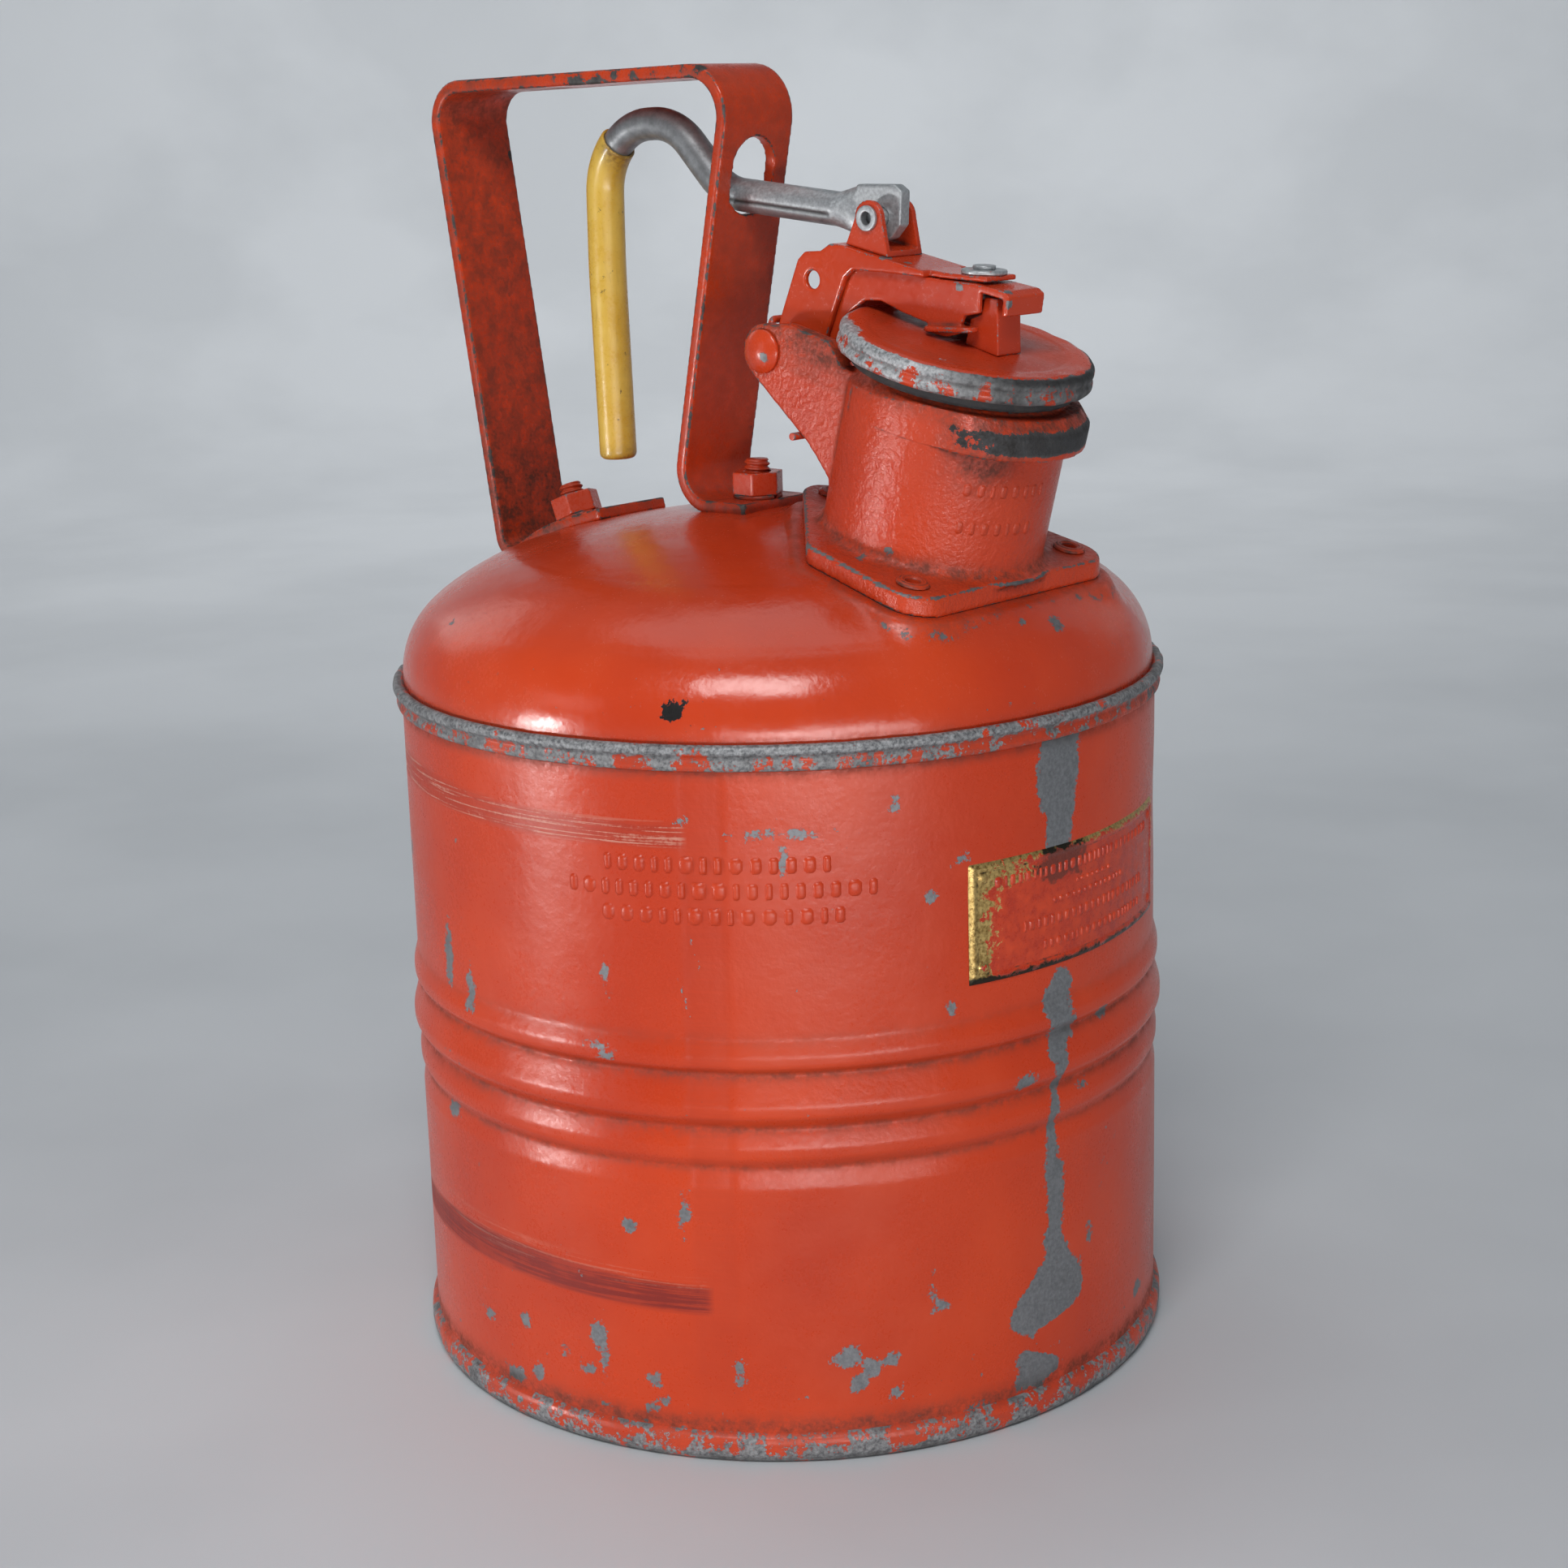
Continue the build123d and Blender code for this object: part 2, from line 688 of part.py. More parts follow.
with BuildPart() as pull_rod:
    with BuildLine(Plane.XZ) as rod_path:
        FilletPolyline(*rod_route, radius=rod_bends)
    with BuildSketch(Plane(origin=rod_path.line @ 0, z_dir=rod_path.line % 0)):
        Circle(rod_r)
    sweep(path=rod_path.line)
    # Crushed end: the round tube lofts into a flat two-layer tongue.
    mouth = Plane(origin=(24.0, 0, 276.9), x_dir=(0, 1, 0), z_dir=(36.4, 0, -3.8))
    with BuildSketch(mouth):
        Circle(rod_r)
    with BuildSketch(mouth.offset(6.5)):
        with Locations((0, 0.6)):
            RectangleRounded(2 * flat_half - 0.1, 11.4, 1.2)
    loft()
    with BuildSketch(Plane.XZ.offset(-flat_half)):
        with BuildLine():
            Polyline(
                (29.6, 271.7),
                (34.0, 270.9),
                (37.6, 269.8),
                (40.4, 270.5),
                (43.2, 273.4),
                (43.8, 281.0),
                (41.6, 282.5),
                (30.4, 282.6),
                close=True,
            )
        make_face()
    extrude(amount=2 * flat_half)
    with Locations(Pos(clevis_x, 0, clevis_z) * Rot(90, 0, 0)):
        Cylinder(2.2, 30, mode=Mode.SUBTRACT)
write(pull_rod, "pull_rod")

# Dipped vinyl sleeve over the rod's drop.
sleeve_top = Plane(origin=(-48.0, 0, 292.0), z_dir=(-0.76, 0, -0.65))
with BuildPart() as grip_sleeve:
    with BuildLine(Plane.XZ) as sleeve_path:
        FilletPolyline(*rod_route[2:5], (-53.5, 214.2), radius=rod_bends[2:4])
    with BuildSketch(Plane(origin=sleeve_path.line @ 0, z_dir=sleeve_path.line % 0)):
        Circle(sleeve_r)
    sweep(path=sleeve_path.line)
    split(bisect_by=sleeve_top, keep=Keep.TOP)
    fillet(grip_sleeve.faces().sort_by(Axis.Z)[0].edges(), 1.6)
    add(pull_rod.part, mode=Mode.SUBTRACT)
write(grip_sleeve, "grip_sleeve")

# ======================= carrying handle =======================

half_thick = strap_thick / 2
heel_r = 4.5
rear_corner = (-105.6, 307.3)
# The rear foot follows the dome's shoulder; the heel turns it up into the leg.
sole_c = (-shoulder_c[0], shoulder_c[1])
sole_r = shoulder_r + half_thick
heel_angle = 124.5
heel_c = (
    sole_c[0] + (sole_r + heel_r) * cos(radians(heel_angle)),
    sole_c[1] + (sole_r + heel_r) * sin(radians(heel_angle)),
)
leg_reach = hypot(rear_corner[0] - heel_c[0], rear_corner[1] - heel_c[1])
leg_angle = degrees(
    atan2(rear_corner[1] - heel_c[1], rear_corner[0] - heel_c[0]) + acos(heel_r / leg_reach)
)
front_route = [(0.2, 309.2), (-21.6, 206.4), (1.4, 206.4)]

with BuildPart() as handle_strap:
    with BuildSketch(Plane.XZ.offset(-strap_width / 2)):
        with BuildLine() as strap_line:
            sole = CenterArc(sole_c, sole_r, 180 - crown_angle, heel_angle - 180 + crown_angle)
            Line(sole @ 0, (sole @ 0) - (sole % 0) * 14)
            heel = CenterArc(heel_c, heel_r, heel_angle + 180, leg_angle - heel_angle - 180)
            FilletPolyline(heel @ 1, rear_corner, *front_route, radius=[9.0, 10.4, 8.5])
        trace(line_width=strap_thick)
    extrude(amount=strap_width)
    # Slot that the pull rod works in.
    slot_top = 293.6
    slot_low = 276.2
    slot_width = 14.0
    with BuildSketch(Plane.YZ.offset(-16)):
        with BuildLine():
            left = Line((-slot_width / 2, slot_low + 3), (-slot_width / 2, slot_top - 6))
            crest = ThreePointArc(left @ 1, (0, slot_top), (slot_width / 2, slot_top - 6))
            right = Line(crest @ 1, (slot_width / 2, slot_low + 3))
            ThreePointArc(right @ 1, (0, slot_low - 0.6), left @ 0)
        make_face()
    extrude(amount=30, mode=Mode.SUBTRACT)
    add(dome_face(0, seam_z))
    revolve(axis=Axis.Z, mode=Mode.SUBTRACT)
    with Locations(Pos(front_stud_x, 0, dome_top_z)):
        Cylinder(stud_r + stud_play, 12, mode=Mode.SUBTRACT)
    rear_stud = Pos(-shoulder_c[0], 0, shoulder_c[1]) * Rot(0, -rear_stud_tilt, 0) * Pos(0, 0, shoulder_r)
    with Locations(rear_stud):
        Cylinder(stud_r + stud_play, 12, mode=Mode.SUBTRACT)
write(handle_strap, "handle_strap")

front_seat = Pos(front_stud_x, 0, 206.4 + half_thick)
rear_seat = rear_stud * Pos(0, 0, strap_thick)
seats = [front_seat, rear_seat]

with BuildPart() as handle_studs:
    with Locations(*[seat * Pos(0, 0, -strap_thick) for seat in seats]):
        Cylinder(stud_r, strap_thick + 9.4, align=(Align.CENTER, Align.CENTER, Align.MIN))
    add(dome_face(0, seam_z))
    revolve(axis=Axis.Z, mode=Mode.SUBTRACT)
    chamfer(handle_studs.faces().filter_by(GeomType.PLANE).group_by(SortBy.AREA)[-1].edges(), 0.6)
write(handle_studs, "handle_studs")

with BuildPart() as handle_nuts:
    for seat in seats:
        place = seat * Pos(0, 0, lock_thick)
        with BuildSketch(Plane(place)):
            RegularPolygon(nut_flats / 2, 6, major_radius=False)
        extrude(amount=nut_height)
        with Locations(place):
            Cylinder(stud_r + stud_play, 20, mode=Mode.SUBTRACT)
write(handle_nuts, "handle_nuts")

with BuildPart() as lock_washers:
    for seat in seats:
        with Locations(seat):
            Cylinder(6.0, lock_thick, align=(Align.CENTER, Align.CENTER, Align.MIN))
            Cylinder(stud_r + stud_play, 4, mode=Mode.SUBTRACT)
            with Locations((4.8, 0, 0)):
                Box(4.4, 0.8, 4, mode=Mode.SUBTRACT)
write(lock_washers, "lock_washers")
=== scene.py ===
import math

import bpy
import numpy as np
from mathutils import Matrix, Vector


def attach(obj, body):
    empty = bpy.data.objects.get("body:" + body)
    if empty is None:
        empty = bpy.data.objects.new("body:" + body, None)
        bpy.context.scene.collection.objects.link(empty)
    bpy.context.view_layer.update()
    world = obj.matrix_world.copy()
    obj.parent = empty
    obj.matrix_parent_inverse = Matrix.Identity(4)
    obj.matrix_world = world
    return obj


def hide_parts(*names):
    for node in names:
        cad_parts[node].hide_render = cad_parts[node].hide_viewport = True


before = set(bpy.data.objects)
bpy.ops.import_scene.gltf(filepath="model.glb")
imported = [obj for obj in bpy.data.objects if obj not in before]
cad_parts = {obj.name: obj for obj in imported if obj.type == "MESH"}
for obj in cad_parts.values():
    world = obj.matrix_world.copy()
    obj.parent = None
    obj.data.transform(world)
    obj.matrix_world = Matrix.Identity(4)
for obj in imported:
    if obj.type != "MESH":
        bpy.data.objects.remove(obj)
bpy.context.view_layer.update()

# Lengths are in millimetres up to the point where a mesh is made.
MM = 0.001
scene = bpy.context.scene

# ---- dimensions shared with the CAD source ----
WALL_R = 92.2
SHEET = 0.8
DOME_R = 90.8
CROWN_C, CROWN_R = (0.0, -25.0), 230.0
SHOULDER_C, SHOULDER_R = (46.0, 138.7), 60.0
KNUCKLE_C, KNUCKLE_R = (69.8, 169.5), 21.0
TILT = math.radians(15)
SPOUT_O = np.array([50.0, 0.0, 202.6])
SPOUT_N = np.array([math.sin(TILT), 0.0, math.cos(TILT)])
SPOUT_A = np.array([math.cos(TILT), 0.0, -math.sin(TILT)])
ACROSS = np.array([0.0, 1.0, 0.0])
PER_DEGREE = math.radians(1) * WALL_R  # arc along the wall


# ---- shader graph helpers ----


class Graph:
    """A material being built; place is the position on the piece in millimetres."""

    def __init__(self, name):
        self.material = bpy.data.materials.new(name)
        self.material.use_nodes = True
        self.tree = self.material.node_tree
        self.tree.nodes.clear()
        self.shader = self.add("ShaderNodeBsdfPrincipled")
        out = self.add("ShaderNodeOutputMaterial")
        self.tree.links.new(self.shader.outputs["BSDF"], out.inputs["Surface"])
        where = self.add("ShaderNodeTexCoord").outputs["Object"]
        self.place = self.stretched((1000, 1000, 1000), where)
        self.seed = 0.0

    def feed(self, node, inputs):
        """Links each input to a socket, or sets it to a number or colour."""
        for key, value in inputs.items():
            if isinstance(value, bpy.types.NodeSocket):
                self.tree.links.new(value, node.inputs[key])
            else:
                node.inputs[key].default_value = value

    def add(self, kind, inputs=None, **props):
        made = self.tree.nodes.new(kind)
        for key, value in props.items():
            setattr(made, key, value)
        self.feed(made, inputs or {})
        return made

    def stretched(self, factors, source=None):
        source = source or self.place
        node = self.add("ShaderNodeVectorMath", {0: source, 1: factors}, operation="MULTIPLY")
        return node.outputs[0]

    def maths(self, operation, a, b):
        return self.add("ShaderNodeMath", {0: a, 1: b}, operation=operation).outputs[0]

    def span(self, value, low, high, to_low=0.0, to_high=1.0):
        inputs = {"Value": value, "From Min": low, "From Max": high, "To Min": to_low, "To Max": to_high}
        return self.add("ShaderNodeMapRange", inputs, clamp=True).outputs[0]

    def noise(self, scale, detail=3.0, rough=0.55, stretch=None):
        """Noise round 0.5, with scale in cycles per millimetre; each call gets its own seed."""
        self.seed += 7.31
        source = self.stretched(stretch) if stretch else self.place
        moved = self.add("ShaderNodeVectorMath", {0: source, 1: (self.seed, 2.3 * self.seed, -self.seed)})
        inputs = {"Vector": moved.outputs[0], "Scale": scale, "Detail": detail, "Roughness": rough}
        return self.add("ShaderNodeTexNoise", inputs).outputs["Fac"]

    def attribute(self, name):
        return self.add("ShaderNodeAttribute", attribute_name=name).outputs["Fac"]

    def blend(self, factor, a, b):
        """A colour that goes from a to b as factor goes from 0 to 1."""
        a, b = ((*c, 1.0) if isinstance(c, tuple) else c for c in (a, b))
        # 6 and 7 are the Mix node's two colour inputs and 2 is its colour output.
        return self.add("ShaderNodeMix", {0: factor, 6: a, 7: b}, data_type="RGBA").outputs[2]

    def sum(self, *terms):
        total = terms[0]
        for term in terms[1:]:
            total = self.maths("ADD", total, term)
        return total

    def times(self, value, factor):
        return self.maths("MULTIPLY", value, factor)

    def mean(self, a, b, share=0.5):
        return self.sum(self.times(a, share), self.times(b, 1 - share))

    def centred(self, value, amount):
        """value, round 0.5, turned into one round 0 that swings by amount."""
        return self.times(self.maths("SUBTRACT", value, 0.5), amount)

    def set(self, **sockets):
        self.feed(self.shader, {key.replace("_", " "): value for key, value in sockets.items()})

    def bump(self, height):
        """height is in millimetres."""
        node = self.add("ShaderNodeBump", {"Height": height, "Strength": 1.0, "Distance": MM})
        self.set(Normal=node.outputs["Normal"])


# ---- materials ----

RED = (0.55, 0.050, 0.011)
RED_DEEP = (0.38, 0.026, 0.008)
RED_FADED = (0.58, 0.082, 0.030)
DARK_RED = (0.16, 0.012, 0.010)
GREY = (0.135, 0.137, 0.145)
GREY_LIGHT = (0.23, 0.235, 0.24)
GREY_DARK = (0.045, 0.045, 0.048)
# Dark brown for dirt, also used for painted shade.
DIRT_AND_SHADE = (0.035, 0.022, 0.014)
BLACK = (0.012, 0.011, 0.011)


def enamel(
    name, edge, speck, rough=(0.16, 0.32), peel=0.014, cast=0.0, dirt_and_shade=0.5, worn=(GREY, GREY_LIGHT), patina=0.5,
    shine=0.5, sag=0.0,
):
    """Gloss red enamel with chips to bare metal, edge wear, dirt with painted shade, and scuffs.

    Vertex attributes say where: bare and wear are 0.5 at a worn patch's outline, grime (dirt, and
    painted shade in hollows and under parts), scuff, scrape and soot run from 0 to 1, and zone raises
    the number of small chips. edge scales wear, speck is the noise level where small chips start, dirt
    sets how strong dirt with painted shade is and patina how strong stains are, and worn holds bare
    metal's two tones. peel (orange peel), sag (slow waves in the sheet) and cast (a casting's grain)
    are heights in millimetres.
    """
    g = Graph(name)
    # Where the paint is gone: painted patches with ragged outlines, and small chips.
    fine = g.noise(1.1, 4, 0.62)
    mid = g.noise(0.24, 5, 0.62)
    ragged = g.sum(g.centred(fine, 0.7), g.centred(mid, 1.2), g.centred(g.noise(3.1, 3, 0.6), 0.35))
    field = g.sum(g.maths("MAXIMUM", g.attribute("bare"), g.times(g.attribute("wear"), edge)), ragged)
    small = g.sum(g.noise(0.34, 6, 0.66), g.times(g.attribute("zone"), 0.10))
    chips = g.span(small, speck, speck + 0.008)
    gone = g.maths("MAXIMUM", g.span(field, 0.50, 0.525), chips)
    pin = g.sum(g.noise(1.9, 3, 0.5), g.times(g.attribute("zone"), 0.05))
    pricks = g.span(pin, 0.77, 0.785)

    # Paint, darker in places and faded in others, then its marks, dirt with painted shade, and the rims of patches.
    broad = g.noise(0.018, 3, 0.5)
    tone = g.blend(g.span(broad, 0.35, 0.66, 0.45, 1.0), RED_DEEP, RED)
    streak = g.noise(0.05, 5, 0.6)
    tone = g.blend(g.span(streak, 0.50, 0.78, 0.0, 0.22), tone, RED_FADED)
    tone = g.blend(g.times(pricks, 0.8), tone, GREY_DARK)
    lines = g.noise(1.0, 3, 0.6, (0.03, 0.03, 1.5))
    scuff = g.times(g.attribute("scuff"), g.span(g.sum(lines, g.centred(mid, 0.3)), 0.40, 0.52, 0.55, 1.0))
    tone = g.blend(g.times(scuff, 0.9), tone, DARK_RED)
    scrape = g.times(g.attribute("scrape"), g.span(g.sum(lines, g.centred(fine, 0.25)), 0.53, 0.62))
    tone = g.blend(g.times(scrape, 0.6), tone, (0.60, 0.30, 0.22))
    darkening = g.times(g.attribute("grime"), g.span(g.mean(mid, fine, 0.6), 0.36, 0.60))
    tone = g.blend(g.times(darkening, dirt_and_shade), tone, DIRT_AND_SHADE)
    tone = g.blend(g.span(field, 0.455, 0.50, 0.0, 0.5), tone, RED_DEEP)

    metal = g.blend(g.span(fine, 0.36, 0.66), *worn)
    stain = g.noise(0.12, 4, 0.65)
    metal = g.blend(g.span(stain, 0.56, 0.72, 0.0, patina), metal, GREY_DARK)
    metal = g.blend(g.times(darkening, 0.6), metal, DIRT_AND_SHADE)
    metal = g.blend(g.attribute("soot"), metal, BLACK)

    g.set(
        Base_Color=g.blend(gone, tone, metal),
        Metallic=g.times(gone, 0.55),
        Specular_IOR_Level=shine,
        Roughness=g.sum(
            g.span(g.mean(streak, fine), 0.4, 0.62, *rough),
            g.times(gone, 0.22),
            g.times(darkening, 0.35),
            g.times(g.attribute("scuff"), 0.25),
        ),
    )
    height = g.sum(g.centred(g.noise(0.5, 2, 0.5), 2 * peel), g.times(gone, -0.035), g.centred(fine, peel))
    height = g.sum(height, g.times(g.times(gone, fine), 0.02))
    if sag:
        height = g.sum(height, g.centred(g.noise(0.085, 2, 0.45), sag))
    if cast:
        grain = g.sum(g.centred(g.noise(0.75, 3, 0.6), cast), g.centred(g.noise(0.40, 2, 0.5), 0.5 * cast))
        height = g.sum(height, grain)
    g.bump(height)
    return g.material


def plated(name, light=(0.48, 0.50, 0.51), dark=(0.34, 0.35, 0.36), paint=None):
    """Dull plated metal with stains; paint is the share of red left on it."""
    g = Graph(name)
    fine = g.noise(1.3, 5, 0.65)
    mid = g.noise(0.30, 5, 0.6)
    tone = g.blend(g.span(fine, 0.38, 0.64), dark, light)
    tone = g.blend(g.span(mid, 0.63, 0.80, 0.0, 0.75), tone, GREY_DARK)
    # Dirt and painted shade darken the metal.
    darkening = g.times(g.attribute("grime"), g.span(g.mean(mid, fine, 0.6), 0.38, 0.58, 0.35, 1.0))
    tone = g.blend(darkening, tone, GREY_DARK)
    tone = g.blend(g.attribute("seam"), tone, (0.02, 0.018, 0.018))
    metallic = g.span(mid, 0.63, 0.80, 0.60, 0.35)
    if paint:
        left = g.span(g.noise(0.6, 5, 0.65), 1 - paint, 1 - paint + 0.02)
        tone = g.blend(left, tone, RED)
        metallic = g.times(metallic, g.maths("SUBTRACT", 1.0, left))
    g.set(Base_Color=tone, Metallic=metallic, Roughness=g.span(g.mean(fine, mid), 0.42, 0.60, 0.34, 0.50))
    g.bump(g.sum(g.centred(fine, 0.03), g.centred(g.noise(0.5, 3, 0.5, (1, 1, 0.2)), 0.02)))
    return g.material


def vinyl():
    """Yellow dipped vinyl, speckled, with long rub marks and dirt at its ends."""
    g = Graph("dipped_vinyl")
    fine = g.noise(1.2, 4, 0.6)
    mid = g.noise(0.16, 4, 0.6)
    tone = g.blend(g.span(mid, 0.36, 0.64), (0.62, 0.38, 0.05), (0.68, 0.45, 0.075))
    tone = g.blend(g.span(g.noise(0.45, 5, 0.7), 0.655, 0.685, 0.0, 0.8), tone, (0.06, 0.035, 0.012))
    long_marks = g.noise(0.5, 3, 0.6, (1.4, 1.4, 0.18))
    tone = g.blend(g.span(long_marks, 0.62, 0.78, 0.0, 0.35), tone, (0.25, 0.12, 0.015))
    tone = g.blend(g.times(g.attribute("grime"), g.span(fine, 0.35, 0.6, 0.4, 0.85)), tone, (0.13, 0.06, 0.012))
    g.set(
        Base_Color=tone,
        Roughness=g.span(g.mean(fine, mid), 0.40, 0.62, 0.24, 0.42),
        Coat_Weight=0.25,
        Coat_Roughness=0.15,
    )
    g.bump(g.sum(g.centred(g.noise(0.25, 2, 0.5), 0.10), g.centred(fine, 0.015)))
    return g.material


def rubber():
    """Black seal rubber with dust on it."""
    g = Graph("seal_rubber")
    fine = g.noise(0.9, 4, 0.6)
    dusty = g.span(g.noise(0.2, 4, 0.6), 0.5, 0.7, 0.0, 0.6)
    tone = g.blend(g.span(fine, 0.4, 0.65), (0.02, 0.02, 0.021), (0.044, 0.044, 0.0462))
    g.set(Base_Color=g.blend(dusty, tone, (0.09, 0.07, 0.055)), Roughness=g.span(fine, 0.4, 0.6, 0.6, 0.85))
    g.bump(g.centred(fine, 0.04))
    return g.material


def yellow_metal():
    """Brass plate, mostly painted over; bare says where the brass shows, grime where it is black."""
    g = Graph("brass_plate")
    fine = g.noise(1.2, 4, 0.62)
    mid = g.noise(0.35, 5, 0.62)
    ragged = g.sum(g.centred(fine, 0.6), g.centred(mid, 0.9))
    shows = g.span(g.sum(g.attribute("bare"), ragged), 0.50, 0.53)
    brass = g.blend(g.span(fine, 0.38, 0.62), (0.30, 0.18, 0.05), (0.66, 0.46, 0.17))
    black = g.span(g.sum(g.attribute("grime"), g.centred(mid, 1.0)), 0.5, 0.6)
    brass = g.blend(black, brass, (0.035, 0.028, 0.018))
    tone = g.blend(g.span(mid, 0.36, 0.66), RED_DEEP, RED)
    tone = g.blend(g.times(black, 0.8), tone, (0.07, 0.02, 0.012))
    g.set(
        Base_Color=g.blend(shows, tone, brass),
        Metallic=g.times(shows, 0.8),
        Roughness=g.span(g.mean(fine, mid), 0.42, 0.60, 0.24, 0.45),
    )
    g.bump(g.sum(g.centred(fine, 0.03), g.times(shows, -0.04)))
    return g.material


M = {
    "wall": enamel(
        "enamel_wall", edge=0.0, speck=0.738, rough=(0.25, 0.37), dirt_and_shade=0.7, peel=0.034, shine=0.36, sag=0.20,
        worn=((0.16, 0.164, 0.172), (0.24, 0.245, 0.255)), patina=0.25,
    ),
    "dome": enamel("enamel_dome", edge=0.0, speck=0.75, rough=(0.16, 0.29), peel=0.024, sag=0.26),
    "seam": enamel(
        "enamel_seam", edge=0.35, speck=0.70, rough=(0.26, 0.44), dirt_and_shade=0.75,
        worn=((0.11, 0.112, 0.118), (0.40, 0.405, 0.41)),
    ),
    "strap": enamel(
        "enamel_strap", edge=0.60, speck=0.745, dirt_and_shade=0.85, shine=0.4,
        worn=((0.05, 0.05, 0.052), (0.14, 0.135, 0.13)),
    ),
    "cast": enamel(
        "enamel_cast", edge=0.44, speck=0.735, rough=(0.25, 0.38), cast=0.30, dirt_and_shade=0.8, shine=0.42,
        worn=(GREY, (0.19, 0.19, 0.19)),
    ),
    "cap": enamel(
        "enamel_cap", edge=0.3, speck=0.74, rough=(0.24, 0.42), dirt_and_shade=0.85,
        worn=((0.20, 0.205, 0.21), (0.60, 0.61, 0.62)),
    ),
    "arms": enamel("enamel_arms", edge=0.43, speck=0.745, dirt_and_shade=0.7),
    "small": enamel("enamel_hardware", edge=0.44, speck=0.735, dirt_and_shade=0.9, rough=(0.22, 0.40)),
    "zinc": plated("zinc_plate"),
    "washer": plated("zinc_washer", paint=0.36),
    "vinyl": vinyl(),
    "seal": rubber(),
    "brass": yellow_metal(),
    "arrester": plated("arrester_brass", (0.50, 0.36, 0.16), (0.20, 0.13, 0.05)),
}

# ---- mesh helpers ----


def unit(x):
    """x kept between 0 and 1."""
    return np.clip(x, 0, 1)


def smooth(x):
    """0 to 1 eased at both ends."""
    return x * x * (3 - 2 * x)


def lump(x, width):
    """A bell of height 1 round 0."""
    return np.exp(-((x / width) ** 2))


def wrapped(degrees):
    """Degrees brought between -180 and 180."""
    return (degrees + 180) % 360 - 180


def paint(obj, **fields):
    """Stores per-vertex numbers that the materials read; one number goes to every vertex."""
    for name, values in fields.items():
        layer = obj.data.attributes.get(name) or obj.data.attributes.new(name, "FLOAT", "POINT")
        values = np.broadcast_to(np.ravel(values), len(obj.data.vertices))
        layer.data.foreach_set("value", unit(values).astype(np.float32))


def linked(name, data):
    obj = bpy.data.objects.new(name, data)
    scene.collection.objects.link(obj)
    return obj


def adopt(obj, body, material, nodes):
    """Gives a piece its material and body, and hides the CAD nodes that it stands for."""
    obj.data.materials.clear()
    obj.data.materials.append(M[material])
    obj.data.shade_smooth()
    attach(obj, body)
    if nodes:
        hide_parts(*nodes)
    return obj


def mesh_from(name, points, faces):
    mesh = bpy.data.meshes.new(name)
    mesh.from_pydata((points * MM).tolist(), [], faces)
    mesh.update()
    return mesh


def build(name, points, faces, body, material, nodes=()):
    """A piece from points in millimetres."""
    return adopt(linked(name, mesh_from(name, points, faces)), body, material, nodes)


def quads(rows, cols, wrap=True, offset=0):
    """Faces of a grid whose points run along each row first."""
    i = np.arange(rows - 1)[:, None]
    j = np.arange(cols if wrap else cols - 1)[None, :]
    k = (j + 1) % cols
    a, b, c, d = i * cols + j, i * cols + k, (i + 1) * cols + k, (i + 1) * cols + j
    return (np.stack([a, b, c, d], -1).reshape(-1, 4) + offset).tolist()


def rounded(profile, radius, step):
    """A profile resampled evenly, its corners eased over about radius."""
    p = np.asarray(profile, float)
    run = np.concatenate([[0], np.cumsum(np.hypot(*np.diff(p, axis=0).T))])
    fine = np.linspace(0, run[-1], max(8, int(run[-1] / (0.12 * radius))))
    width = 9
    kernel = np.hanning(width + 2)[1:-1]
    kernel /= kernel.sum()
    at = np.linspace(0, fine[-1], max(4, int(fine[-1] / step) + 1))
    eased = []
    for column in p.T:
        x = np.interp(fine, run, column)
        for _ in range(2):
            x = np.convolve(np.pad(x, width // 2, "reflect", reflect_type="odd"), kernel, "valid")
        eased.append(np.interp(at, fine, x))
    return np.stack(eased, -1)


def thicken(obj):
    """Gives a single sheet its thickness, inwards."""
    shell = obj.modifiers.new("thickness", "SOLIDIFY")
    shell.thickness, shell.offset = SHEET * MM, -1.0


def move_points(obj, points):
    obj.data.vertices.foreach_set("co", (points * MM).ravel())
    obj.data.update()


def circle(steps):
    return np.arange(steps) * 2 * math.pi / steps


def turned(profile, steps, origin=0, axis=(0, 0, 1), side=(1, 0, 0)):
    """Points and faces of a profile (radius, height) turned round an axis."""
    axis, side = np.array(axis, float), np.array(side, float)
    angle = circle(steps)[:, None]
    ring = np.cos(angle) * side + np.sin(angle) * np.cross(axis, side)
    points = origin + profile[:, 1, None, None] * axis + profile[:, 0, None, None] * ring
    return points.reshape(-1, 3), quads(len(profile), steps)


def places(profile, steps):
    """Angle, radius and height of each point of a turned profile."""
    return np.tile(circle(steps), len(profile)), *np.repeat(profile, steps, axis=0).T


def points_of(mesh):
    """The vertices in millimetres."""
    co = np.empty(len(mesh.vertices) * 3)
    mesh.vertices.foreach_get("co", co)
    return co.reshape(-1, 3) / MM


def mean_at_ends(ends, first, second, count):
    """At each vertex, the mean of what its edges bring to their first and second ends."""
    total = np.bincount(ends[:, 0], first, count) + np.bincount(ends[:, 1], second, count)
    return total / np.maximum(np.bincount(ends.ravel(), minlength=count), 1)


